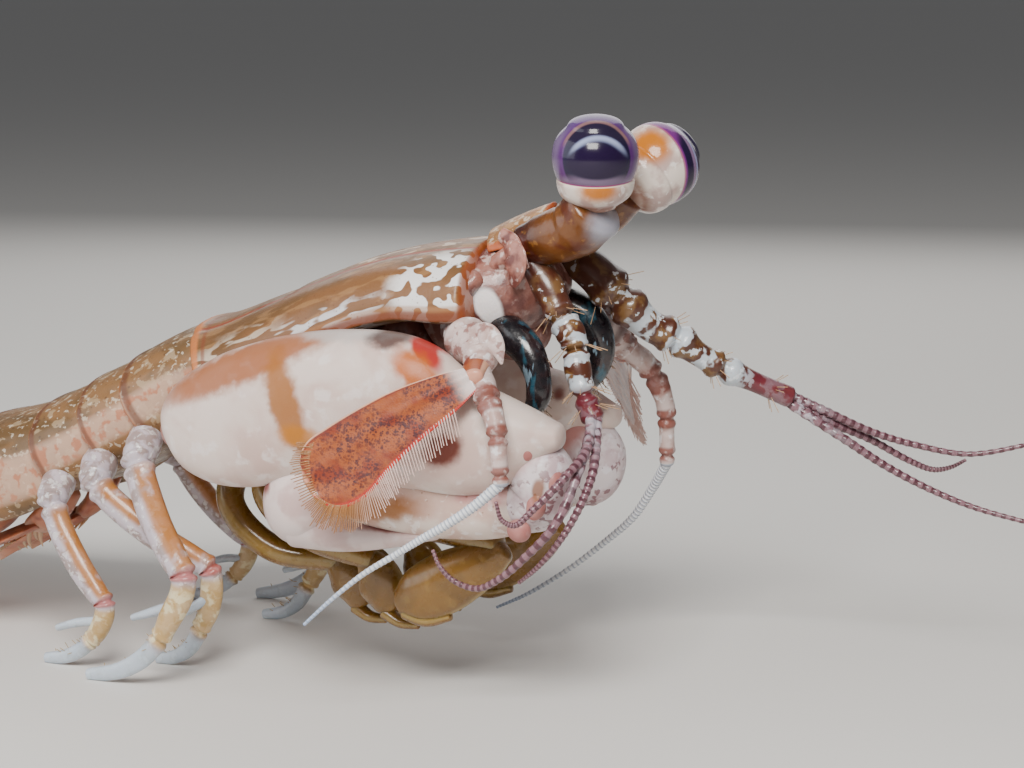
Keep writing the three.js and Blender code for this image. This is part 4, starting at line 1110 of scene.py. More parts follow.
@dataclass
class Feelers:
    """Antennules with three whips each, antennae with one, and their fringed scales."""

    stalks: dict = both(((30.2, -2.7, 34.8, 1.1), (32.3, -3.1, 32.7, 1.3), (33.7, -3.6, 30.3, 1.05),
                         (34.6, -3.9, 29.2, 1.2), (35.1, -4.1, 27.9, 0.9), (35.4, -4.4, 26.6, 1.1),
                         (36.1, -4.8, 24.6, 0.8), (36.9, -5.0, 22.9, 0.95)),
                        ((30.6, 2.9, 34.9, 1.3), (33.2, 3.1, 33.6, 1.6), (35.6, 3.8, 31.2, 1.6),
                         (37.7, 5.2, 28.9, 1.3), (39.4, 6.4, 27.9, 1.35), (41.1, 7.6, 26.4, 1.0),
                         (42.6, 8.8, 25.3, 1.1), (44.9, 10.4, 24.0, 0.85), (47.3, 12.0, 22.7, 0.9)))
    whips: dict = both((((36.9, -5.2, 23.2), (38.0, -9.0, 21.0), (37.4, -12.0, 19.3), (35.6, -13.6, 17.1),
                         (34.5, -14.4, 16.0), (33.6, -14.8, 16.4), (33.3, -15.2, 17.8)),
                        ((37.1, -4.9, 23.2), (37.9, -10.2, 19.6), (37.0, -12.6, 15.9), (34.9, -13.2, 13.4),
                         (32.6, -13.0, 11.4), (30.6, -12.8, 10.4), (28.5, -12.6, 10.8), (27.3, -12.5, 11.8),
                         (26.7, -12.4, 12.9)),
                        ((37.2, -4.7, 23.2), (38.7, -9.5, 19.2), (37.6, -11.6, 15.4), (35.6, -12.2, 12.6),
                         (33.8, -12.0, 11.0))),
                       (((47.0, 12.0, 23.0), (50.1, 13.2, 21.5), (53.5, 14.8, 19.8), (56.9, 16.2, 18.7),
                         (61.0, 17.6, 18.0), (65.2, 19.0, 18.8), (67.9, 20.0, 19.6)),
                        ((47.0, 12.1, 22.7), (50.1, 13.5, 20.7), (53.3, 15.5, 19.0), (56.2, 17.0, 17.2),
                         (58.0, 18.0, 16.4), (59.3, 18.6, 16.6), (60.4, 19.0, 17.2)),
                        ((47.0, 11.9, 22.4), (51.7, 13.0, 19.4), (55.0, 14.0, 17.2), (58.5, 14.8, 15.4),
                         (62.1, 15.6, 14.0), (66.1, 16.0, 13.1), (69.0, 16.2, 12.5))))
    coxae: dict = both(
        ((25.6, -5.6, 29.4, 1.6), (27.4, -7.8, 28.9, 1.8), (29.4, -9.8, 28.3, 1.6), (30.4, -11.4, 27.6, 1.2)),
        ((25.6, 5.6, 29.4, 1.7), (29.2, 7.2, 29.0, 1.9), (32.4, 8.0, 28.0, 1.7), (34.4, 8.8, 26.4, 1.3)))
    peduncles: dict = both(((30.2, -11.4, 27.2, 0.9), (31.7, -13.4, 25.5, 0.95), (32.9, -14.4, 23.7, 0.8),
                            (33.4, -14.9, 21.4, 0.65), (33.6, -15.0, 19.2, 0.6)),
                           ((34.4, 8.8, 26.4, 1.0), (35.9, 10.0, 24.6, 0.95), (36.9, 11.0, 21.6, 0.8),
                            (36.9, 11.5, 18.9, 0.65), (36.8, 11.9, 16.4, 0.6)))
    lashes: dict = both(((33.6, -15.0, 19.2), (31.8, -15.9, 17.5), (29.9, -16.7, 16.1), (28.0, -17.3, 14.9),
                         (26.2, -17.8, 13.7), (23.6, -18.2, 12.0), (21.0, -18.6, 9.8), (18.9, -18.9, 7.8)),
                        ((36.8, 11.9, 16.4), (35.0, 13.2, 13.8), (33.0, 13.8, 11.0), (30.4, 13.8, 8.6),
                         (27.2, 13.4, 6.0), (23.6, 12.8, 3.6), (21.0, 12.2, 2.3)))
    stems: dict = both(((29.9, -11.0, 27.4, 1.1), (30.5, -13.6, 26.7, 1.1, 0.7)),
                       ((33.2, 8.9, 26.6, 1.1), (33.5, 10.8, 25.6, 1.1, 0.7)))
    scale_tips: dict = both((18.9, -18.8, 18.5), (28.0, 23.6, 19.4))
    scale_across: dict = both((-0.548, 0.05, 0.837), (-0.55, 0.1, 0.83))
    outline: Sequence[Row] = ((0, 1.0, -1.0), (2.2, 1.7, -1.5), (5.5, 2.45, -1.9), (8.9, 2.75, -2.6),
                              (11.2, 2.8, -3.3), (13.0, 2.7, -3.2), (14.1, 2.0, -2.5), (14.7, 0.6, -1.2))
    scale_half_thickness: float = 0.34
    hip_share: float = 0.86
    flap_halves: Sequence[Row] = ((0.5, 0.2), (0.9, 0.25), (0.7, 0.22), (0.12, 0.1))
    setae: int = 110

    def whip(self, piece: Sculpt, points: Sequence[Row], root: float, tip: float, rings: int,
             along: tuple[float, float] = (0.5, 1.0)) -> None:
        """A ringed whip that thins out.

        Args:
            piece: What it grows on.
            points: Its route.
            root, tip: Its half-widths at the ends.
            rings: How many rings it has.
            along: The values of the along attribute at its ends.
        """
        last = len(points) - 1
        curve = Spline([(*p, root + (tip - root) * i / last) for i, p in enumerate(points)])

        def at(share: float) -> Section:
            """The whip's section, pinched between two rings.

            Args:
                share: 0 at the first slice and 1 at the last.

            Returns:
                The section.
            """
            ahead = curve.ahead(share)
            row = curve(share)
            size = row[3] * (1 + 0.13 * math.cos(share * rings * math.tau))
            up = Vector((0, 1, 0.2))
            return Section(Vector(row[:3]), ahead, (up - ahead * up.dot(ahead)).normalized(), size, size)

        piece.skin(at, rings * 4, 8, (0.0, 0.6), along=along)

    def build_antennule(self, side: Side, paint: bpy.types.Material) -> None:
        """A jointed stalk with three whips and rings of bristles.

        Args:
            side: Which one.
            paint: The material.
        """
        piece = Sculpt(f"antennule_{side.word}", "feeler")
        stalk = self.stalks[side]
        joints = (0.29, 0.57, 0.86) if side is Side.RIGHT else (0.25, 0.5, 0.75)
        curve = piece.limb(stalk, (1, 0, 0.6), 24, 16, along=(0.0, 0.45), knuckles=joints, knuckle=0.035)
        for points in self.whips[side]:
            self.whip(piece, points, 0.46, 0.16, 34)
        draw = random.Random(21)
        for joint in (*joints, 0.97):
            for index in range(9):
                row, ahead = curve(joint - 0.03), curve.ahead(joint - 0.03)
                turn = index * math.tau / 9 + draw.random() * 0.4
                out = Matrix.Rotation(turn, 3, ahead) @ ahead.orthogonal()
                root = Vector(row[:3]) + out * row[3] * 0.85
                piece.bristle(root, root + (out + ahead * 0.8) * draw.uniform(0.6, 1.1), 0.09, sides=4)
        piece.finish(paint)

    def build_antenna(self, side: Side, paint: bpy.types.Material) -> None:
        """A lumpy hip with a flap, a jointed stem and one long whip.

        Args:
            side: Which one.
            paint: The material.
        """
        piece = Sculpt(f"antenna_{side.word}", "chalk")
        hip = [(x, y, z, half * self.hip_share) for x, y, z, half in self.coxae[side]]
        piece.limb(hip, sides=28, per_span=12, along=(0.0, 0.15), ripple=0.14, seed=4, knuckles=(0.42, 0.8),
                   knuckle=0.06)
        flip = side.value
        end = Vector(self.coxae[side][-2][:3])
        flap = [end + Vector((-0.4, -0.4 * flip, 1.5)), end + Vector((0.9, -0.7 * flip, 1.5)),
                end + Vector((1.9, -0.9 * flip, 0.6)), end + Vector((2.4, -1.0 * flip, -0.7))]
        rows = [(*spot, *half) for spot, half in zip(flap, self.flap_halves)]
        piece.limb(rows, (0.3, -flip, 0.3), 20, 7, along=(0.1, 0.14))
        piece.limb(self.peduncles[side], (1, 0, 0.3), 24, 18, along=(0.2, 0.5), ripple=0.1, seed=8,
                   knuckles=(0.3, 0.62, 0.93), knuckle=0.035)
        self.whip(piece, self.lashes[side], 0.48, 0.14, 56)
        piece.finish(paint)

    def build_scale(self, side: Side, paint: bpy.types.Material) -> None:
        """A thin oval blade with a stem, a midrib and setae round its free edge.

        Args:
            side: Which one.
            paint: The material.
        """
        piece = Sculpt(f"antennal_scale_{side.word}", "scale")
        stem = self.stems[side]
        base = Vector(stem[-1][:3])
        ahead = (Vector(self.scale_tips[side]) - base).normalized()
        wide = Vector(self.scale_across[side])
        wide = (wide - ahead * wide.dot(ahead)).normalized()
        face = ahead.cross(wide)
        curve = Spline([(far, (upper + lower) / 2, (upper - lower) / 2)
                        for far, upper, lower in self.outline])

        def at(share: float) -> Section:
            """A flat slice across the blade.

            Args:
                share: 0 at the first slice and 1 at the last.

            Returns:
                The section.
            """
            far, middle, half = curve(share)
            return Section(base + ahead * far + wide * middle, ahead, face, half, self.scale_half_thickness,
                           power=2.4)

        def shape(share: float, angle: float, out: float, rise: float) -> tuple[float, float]:
            """Domes the blade and thins its edge.

            Args:
                share: 0 at the first slice and 1 at the last.
                angle: The point's angle round the slice.
                out: Its distance aside.
                rise: Its height over the middle.

            Returns:
                The new distance aside and height.
            """
            _, _, half = curve(share)
            v = out / max(half, 0.2)
            rib = 0.12 * math.exp(-((v - 0.25) / 0.12) ** 2) * math.copysign(1, math.sin(angle))
            return out, rise * (1 - 0.45 * smoothstep(abs(v), 0.55, 1.0)) + rib - 0.4 * v * v

        piece.skin(at, steps=44, sides=40, caps=(0.3, 0.6), shape=shape)
        piece.limb(stem, self.scale_across[side], 20, 6)
        fringe = [(far, lower) for far, _, lower in self.outline[::-1] if far > 2]
        run = Spline([(far, lower, 0.0) for far, lower in [(12.8, 2.5), (13.9, 1.4)] + fringe])
        draw = random.Random(11)
        for index in range(self.setae):
            share = (index + 0.5) / self.setae
            far, out, _ = run(share)
            step = run.ahead(share)
            away = Vector((0.45 - step.y, step.x, 0)).normalized()
            length = (1.15 if share < 0.33 else 1.75) * (0.8 + 0.35 * draw.random())
            root = base + ahead * far + wide * out - face * 0.4
            direction = ahead * away.x + wide * away.y
            tip = root + direction * length + face * draw.uniform(-0.15, 0.15)
            piece.bristle(root - direction * 0.3, tip, 0.17, face * draw.uniform(-0.1, 0.1), 5)
        piece.finish(paint)


# Claws

@dataclass
class Claw:
    """A folded smashing claw. The right one is given; the left one is its mirror image, moved."""

    shifts: dict = both((0, 0, 0), (-3.1, -0.7, -1.6))
    merus: Sequence[Row] = (
        (3.2, -12.3, 21.5, 19.3, 1.0), (3.9, -12.3, 23.3, 18.0, 1.9), (5.6, -12.3, 25.2, 16.9, 2.6),
        (8.8, -12.2, 27.0, 16.4, 3.1), (12.2, -12.1, 28.3, 17.0, 3.4), (15.6, -12.0, 29.2, 17.9, 3.5),
        (19.5, -11.8, 29.7, 18.1, 3.5), (23.4, -11.5, 29.5, 17.5, 3.4), (26.2, -11.2, 27.8, 17.1, 3.2),
        (28.8, -10.9, 26.0, 17.1, 2.9), (31.4, -10.5, 25.5, 17.9, 2.7), (33.8, -10.1, 24.4, 19.5, 2.3),
        (36.0, -9.8, 23.2, 21.1, 1.6))
    carpus: Sequence[Row] = ((33.2, -9.6, 20.6, 2.0, 2.2), (34.6, -9.5, 18.9, 2.6, 2.6),
                             (34.4, -9.4, 17.2, 2.4, 2.5), (33.0, -9.4, 16.2, 2.0, 2.1))
    propodus: Sequence[Row] = ((33.6, -9.4, 16.0, 1.5, 1.5), (31.0, -9.5, 16.1, 2.1, 2.4),
                               (27.0, -9.8, 16.3, 2.4, 2.9), (22.6, -10.2, 16.6, 2.5, 3.0),
                               (18.4, -10.6, 17.2, 2.3, 2.7), (16.4, -10.8, 17.6, 1.7, 2.0))
    heel_centre: Row = (15.0, -11.4, 16.0)
    heel_radii: Row = (3.4, 2.9, 4.0)
    heel_pitch: float = 22
    finger: Sequence[Row] = ((14.6, -11.3, 14.2, 2.4, 2.4), (18.4, -11.0, 13.4, 2.0, 1.6),
                             (22.2, -10.7, 13.3, 1.4, 0.9), (26.0, -10.3, 13.7, 0.7, 0.4))
    knobs: Sequence[Row] = ((33.9, -11.5, 21.3, 1.1, 0.8, 1.1), (36.0, -10.4, 18.6, 0.9, 1.3, 1.4),
                            (33.5, -11.4, 14.9, 1.0, 0.7, 0.9), (35.0, -11.5, 17.0, 0.8, 0.7, 1.2))
    ischium: Sequence[Row] = ((17.6, -5.8, 22.0, 1.7), (12.8, -7.6, 19.2, 1.8), (8.2, -9.0, 17.9, 1.7),
                              (4.6, -9.8, 18.4, 1.5))

    def build(self, side: Side, paints: dict[str, bpy.types.Material]) -> None:
        """The five parts of one claw.

        Args:
            side: Which claw.
            paints: The materials by the part's word.
        """
        shift = self.shifts[side]
        word = side.word
        rows = [(x, y, (top + low) / 2, half, (top - low) / 2) for x, y, top, low, half in self.merus]
        merus = Sculpt(f"raptorial_merus_{word}", "porcelain")
        merus.limb(mirrored(rows, side, shift), sides=56, per_span=6, power=2.2)
        merus.finish(paints["merus"])
        ischium = Sculpt(f"raptorial_ischium_{word}", "porcelain")
        ischium.limb(mirrored(self.ischium, side, shift), sides=24)
        ischium.finish(paints["merus"])
        carpus = Sculpt(f"raptorial_carpus_{word}", "porcelain")
        carpus.limb(mirrored(self.carpus, side, shift), (1, 0, 0), 36, 10, (0.6, 0.6))
        for *centre, long, wide, high in self.knobs:
            carpus.ball(mirrored([centre], side, shift)[0], (long, wide, high), 15, 24)
        carpus.finish(paints["carpus"])
        propodus = Sculpt(f"raptorial_propodus_{word}", "porcelain")
        propodus.limb(mirrored(self.propodus, side, shift), sides=40, per_span=9, caps=(0.7, 0.6), power=2.2)
        propodus.finish(paints["propodus"])
        dactyl = Sculpt(f"raptorial_dactyl_{word}", "porcelain")
        dactyl.ball(mirrored([self.heel_centre], side, shift)[0], self.heel_radii, self.heel_pitch, 44)
        dactyl.limb(mirrored(self.finger, side, shift), sides=24, per_span=9, caps=(0.5, 0.6))
        dactyl.finish(paints["dactyl"])


# Mouthparts and legs

@dataclass
class Mouthparts:
    """The slim first maxillipeds and the three pairs with broad oval hands."""

    first: dict = both(((27.6, -3.6, 29.8, 1.3), (29.9, -4.6, 28.9, 1.45), (31.6, -5.2, 27.7, 1.3),
                        (32.5, -5.5, 25.9, 1.05), (32.6, -5.6, 24.3, 1.0), (31.9, -5.4, 23.0, 0.7)),
                       ((28.6, 3.2, 30.2, 1.4), (31.4, 3.8, 30.3, 1.5), (33.1, 4.0, 29.0, 1.45),
                        (33.9, 4.1, 27.1, 1.2), (33.6, 4.0, 25.2, 1.0), (32.7, 3.8, 23.8, 0.7)))
    shifts: dict = both((0, 0, 0), (-0.8, -0.5, -0.8))
    arms: dict = table({
        3: ((12.6, -2.6, 20.8, 1.3), (12.2, -4.4, 16.6, 1.25), (16.2, -5.4, 13.7, 1.2),
            (22.4, -5.6, 13.3, 1.2), (29.6, -6.7, 12.5, 1.0)),
        4: ((8.6, -2.8, 19.2, 1.3), (7.8, -5.0, 14.9, 1.25), (12.2, -6.2, 11.7, 1.15),
            (17.8, -5.4, 10.0, 1.0)),
        5: ((4.4, -2.6, 17.6, 1.3), (4.2, -4.6, 13.4, 1.2), (8.2, -4.6, 9.8, 1.15), (13.6, -3.3, 9.1, 1.0))})
    hands: dict = table({
        3: ((30.2, -6.8, 12.1, 1.0, 0.9), (28.2, -6.9, 10.8, 1.9, 1.2), (25.2, -7.1, 9.1, 2.5, 1.35),
            (22.6, -7.2, 7.7, 2.1, 1.2), (21.4, -7.2, 7.1, 1.2, 0.9)),
        4: ((17.4, -5.3, 10.1, 1.1, 0.9), (18.2, -5.2, 8.8, 1.9, 1.2), (18.7, -5.1, 7.3, 2.0, 1.2),
            (19.0, -5.0, 6.0, 1.1, 0.9)),
        5: ((13.2, -3.3, 9.2, 1.1, 0.9), (14.4, -3.2, 8.1, 1.9, 1.2), (15.1, -3.1, 6.8, 1.9, 1.2),
            (15.4, -3.0, 5.6, 1.0, 0.9))})
    fingers: dict = table({
        3: ((21.8, -7.1, 6.4, 0.9, 0.7), (23.5, -7.1, 5.9, 0.75, 0.6), (25.6, -7.1, 6.4, 0.4, 0.4)),
        4: ((18.9, -5.1, 5.6, 0.8, 0.6), (20.2, -5.1, 4.9, 0.6, 0.5), (21.8, -5.1, 4.8, 0.35, 0.35)),
        5: ((15.1, -3.0, 5.2, 0.8, 0.6), (16.3, -3.0, 4.5, 0.6, 0.5), (17.8, -3.0, 4.4, 0.35, 0.35))})
    bristles: int = 30

    def build(self, side: Side, ink: bpy.types.Material, amber: bpy.types.Material) -> None:
        """The limbs of one side.

        Args:
            side: Which side.
            ink: The first limb's material.
            amber: The material of the others.
        """
        slim = Sculpt(f"maxilliped_1_{side.word}", "inky")
        curve = slim.limb(self.first[side], (0.6, 0, 0.8), 24, 7)
        draw = random.Random(5)
        for index in range(self.bristles):
            share = 0.45 + 0.5 * index / (self.bristles - 1)
            root = curve.point(share)
            tip = root + Vector((draw.uniform(0.2, 1.1), draw.uniform(-0.7, 0.7), -draw.uniform(0.9, 1.6)))
            slim.bristle(root, tip, 0.16, sides=4)
        slim.finish(ink)
        shift = self.shifts[side]
        for rank in self.arms:
            piece = Sculpt(f"maxilliped_{rank}_{side.word}", "amber")
            piece.limb(mirrored(self.arms[rank], side, shift), (0.5, 0, 1), 20, 6, (0.2, 0.4))
            piece.limb(mirrored(self.hands[rank], side, shift), (0, 1, 0), 28, 7, (0.4, 0.5))
            piece.limb(mirrored(self.fingers[rank], side, shift), (0, 0, 1), 16, 6)
            piece.finish(amber)


@dataclass
class WalkingLegs:
    """Three pairs of slim legs: hip, one bent run to the claw tip, and a side branch."""

    strides: dict = table({1: (0, -1.2), 2: (0, 0.7), 3: (0, -0.9)})
    hips: dict = table({
        1: ((-1.9, -7.4, 19.6, 1.2), (-1.2, -9.2, 18.7, 1.5), (-0.8, -10.7, 17.9, 1.35)),
        2: ((-6.2, -7.4, 17.6, 1.2), (-5.6, -9.2, 16.6, 1.5), (-5.1, -10.7, 15.8, 1.35)),
        3: ((-10.4, -7.4, 15.6, 1.2), (-9.7, -9.2, 14.7, 1.45), (-9.3, -10.7, 13.9, 1.3))})
    runs: dict = table({
        1: ((-0.9, -10.9, 17.8, 1.25, 1.05), (0.7, -12.2, 15.4, 1.35, 1.05), (2.8, -13.7, 12.9, 1.35, 1.0),
            (5.2, -15.2, 10.8, 1.25, 0.95), (6.2, -15.6, 9.7, 1.05, 0.9), (6.1, -15.7, 8.2, 1.05, 0.85),
            (4.9, -15.7, 6.0, 1.0, 0.75), (3.9, -15.6, 4.3, 0.8, 0.65), (2.2, -15.4, 2.5, 0.8, 0.4),
            (-0.2, -15.2, 1.1, 0.7, 0.4), (-3.3, -15.0, 0.35, 0.55, 0.4)),
        2: ((-5.2, -10.9, 15.7, 1.1, 1.0), (-2.9, -11.0, 13.8, 1.2, 0.95), (0.4, -10.6, 11.5, 1.2, 0.9),
            (3.6, -9.9, 9.7, 1.1, 0.85), (4.9, -9.5, 8.9, 0.9, 0.8), (5.0, -9.2, 7.2, 1.0, 0.8),
            (4.4, -8.9, 5.0, 0.95, 0.7), (3.5, -8.7, 3.4, 0.75, 0.6), (2.5, -8.6, 1.8, 0.7, 0.4),
            (1.1, -8.5, 0.8, 0.6, 0.4), (-0.8, -8.4, 0.35, 0.5, 0.4)),
        3: ((-9.4, -10.9, 13.8, 1.05, 0.95), (-8.0, -11.4, 11.2, 1.15, 0.9), (-6.0, -12.0, 8.6, 1.15, 0.85),
            (-4.0, -12.5, 6.6, 1.0, 0.8), (-3.2, -12.7, 5.9, 0.85, 0.75), (-3.2, -12.7, 4.8, 0.9, 0.7),
            (-3.9, -12.6, 3.4, 0.85, 0.65), (-4.7, -12.5, 2.5, 0.7, 0.55), (-5.9, -12.3, 1.5, 0.65, 0.4),
            (-7.3, -12.2, 0.8, 0.6, 0.4), (-9.4, -12.0, 0.35, 0.5, 0.4))})
    branches: dict = table({
        1: ((5.4, -15.2, 7.2, 0.45), (3.2, -14.4, 6.3, 0.45), (0.4, -14.0, 5.3, 0.3)),
        2: ((4.6, -9.4, 6.2, 0.45), (2.6, -9.8, 5.0, 0.4), (0.4, -10.0, 4.2, 0.3)),
        3: ((-3.8, -12.4, 4.2, 0.4), (-5.6, -12.8, 4.0, 0.4), (-7.6, -13.0, 3.4, 0.3))})
    bristles: int = 26

    def build(self, side: Side, paint: bpy.types.Material) -> None:
        """The three legs of one side.

        Args:
            side: Which side.
            paint: The material.
        """
        for rank, strides in self.strides.items():
            shift = (strides[0 if side is Side.RIGHT else 1], 0, 0)
            piece = Sculpt(f"walking_leg_{rank}_{side.word}", "leg")
            piece.limb(mirrored(self.hips[rank], side, shift), sides=24, per_span=6, along=(0.0, 0.02),
                       ripple=0.08, seed=rank)
            curve = piece.limb(mirrored(self.runs[rank], side, shift), (0, 1, 0), 22, 14,
                               knuckles=(0.02, 0.4, 0.7), knuckle=0.016)
            piece.limb(mirrored(self.branches[rank], side, shift), sides=14, per_span=6, along=(0.8, 1.0))
            draw = random.Random(rank)
            for index in range(self.bristles):
                share = 0.66 + 0.3 * index / (self.bristles - 1)
                root = curve.point(share)
                tip = root + Vector((-draw.uniform(0.2, 1.0), side.value * draw.uniform(-0.6, 0.6),
                                     draw.uniform(-0.5, 0.8)))
                tip.z = max(tip.z, 0.1)
                piece.bristle(root, tip, 0.14, sides=4)
            for vert in piece.mesh.verts:
                vert.co.z = max(vert.co.z, FLOOR_GAP)
            piece.finish(paint)


@dataclass
class SwimmingLegs:
    """Five pairs of leaf-like legs under the abdomen, with their gill filaments."""

    length: float = 9.4
    half_width: float = 2.6
    thickness: float = 0.8
    spread: float = 3.3
    filaments: int = 7
    clearance: float = 0.75

    def build(self, paint: bpy.types.Material) -> None:
        """Five pairs, each under its own ring.

        Args:
            paint: The material.
        """
        start = sum(length for length, _ in TRUNK.thorax_run)
        for index, (length, _) in enumerate(TRUNK.abdomen_run[:5]):
            section = TRUNK.section(start + length * 0.35, 1.0)
            sole = section.centre - section.up * section.deep * section.under
            for side in Side:
                self.build_leg(index + 1, side, sole, paint)
            start += length

    def build_leg(self, rank: int, side: Side, sole: Vector, paint: bpy.types.Material) -> None:
        """One leg: a hip, two leaves and a row of gill filaments.

        Args:
            rank: Counted from the front.
            side: Which side.
            sole: The underside of the ring above it.
            paint: The material.
        """
        flip = -side.value

        def on(back: float, down: float, aside: float) -> tuple[float, float, float]:
            """A place behind, below and outside the hip."""
            return (sole.x - back, flip * (self.spread + aside), max(sole.z - down, self.clearance))

        fall = min(5.0, sole.z - 1.6)
        piece = Sculpt(f"pleopod_{rank}_{side.word}", "gill")
        piece.limb([(*on(-0.6, -1.0, 0), 1.9, 1.1), (*on(0.6, 0.9, 0.3), 2.1, 1.0),
                    (*on(2.0, 2.1, 0.5), 1.8, 0.8)], (1, 0, 0.3), 24, 6)
        leaves = ((on(1.4, 1.7, 1.3), on(self.length - 0.6, fall, 2.4), self.half_width * 0.9),
                  (on(1.4, 2.2, -0.6), on(self.length - 2.2, fall + 0.5, -0.9), self.half_width * 0.62))
        for base, tip, half in leaves:
            add_leaf(piece, Vector(base), Vector(tip), half, self.thickness / 2, Vector((0.5, 0, 1)),
                     26, 1.1, 0.16)
        draw = random.Random(rank * 2 + (flip > 0))
        for item in range(self.filaments):
            back, down = 1.4 + 0.62 * item, 1.9 + 0.2 * item
            root = Vector(on(back, down, 0.9))
            tip = Vector(on(back + 0.8, down + 1.7 + 0.6 * draw.random(), -0.9 + 0.5 * draw.random()))
            piece.bristle(root, tip, 0.62, (-0.2, 0, -0.25), 8)
        piece.finish(paint)


def add_leaf(piece: Sculpt, base: Vector, tip: Vector, half: float, thick: float, up: Vector, setae: int,
             length: float, wide: float) -> None:
    """A thin oval leaf with a midrib and setae round its outer part.

    Args:
        piece: What it grows on.
        base, tip: Its ends.
        half: Half its width.
        thick: Half its thickness.
        up: Roughly its upper side.
        setae: How many setae it has.
        length, wide: Their size.
    """
    ahead = (tip - base).normalized()
    across = up.cross(ahead).normalized()
    face = ahead.cross(across)
    reach = (tip - base).length

    def half_at(share: float) -> float:
        """The leaf's half-width there."""
        return max(half * math.sin(math.pi * (0.08 + 0.9 * share)) ** 0.6, 0.15)

    def at(share: float) -> Section:
        """A flat slice of the leaf."""
        return Section(base + ahead * reach * share, ahead, face, half_at(share), thick, power=2.4)

    def shape(share: float, angle: float, out: float, rise: float) -> tuple[float, float]:
        """Thins the edge and raises the midrib.

        Args:
            share: 0 at the first slice and 1 at the last.
            angle: The point's angle round the slice.
            out: Its distance aside.
            rise: Its height over the middle.

        Returns:
            The new distance aside and height.
        """
        v = out / half_at(share)
        rib = 0.18 * math.exp(-(v / 0.15) ** 2) * math.sin(angle)
        return out, rise * (1 - 0.5 * smoothstep(abs(v), 0.4, 1.0)) + rib

    piece.skin(at, steps=24, sides=28, caps=(0.3, 0.5), shape=shape)
    draw = random.Random(setae)
    for index in range(setae):
        angle = -1.9 + 3.8 * (index + 0.5) / setae
        share = 0.56 + 0.42 * math.cos(angle)
        side = math.copysign(1, math.sin(angle))
        root = base + ahead * reach * share + across * side * half_at(share) * 0.92
        away = (ahead * (math.cos(angle) + 0.55) + across * math.sin(angle)).normalized()
        size = length * (0.8 + 0.4 * draw.random())
        end = root + away * size
        end.z = max(end.z, 0.08)
        piece.bristle(root - away * 0.2, end, wide, sides=4)


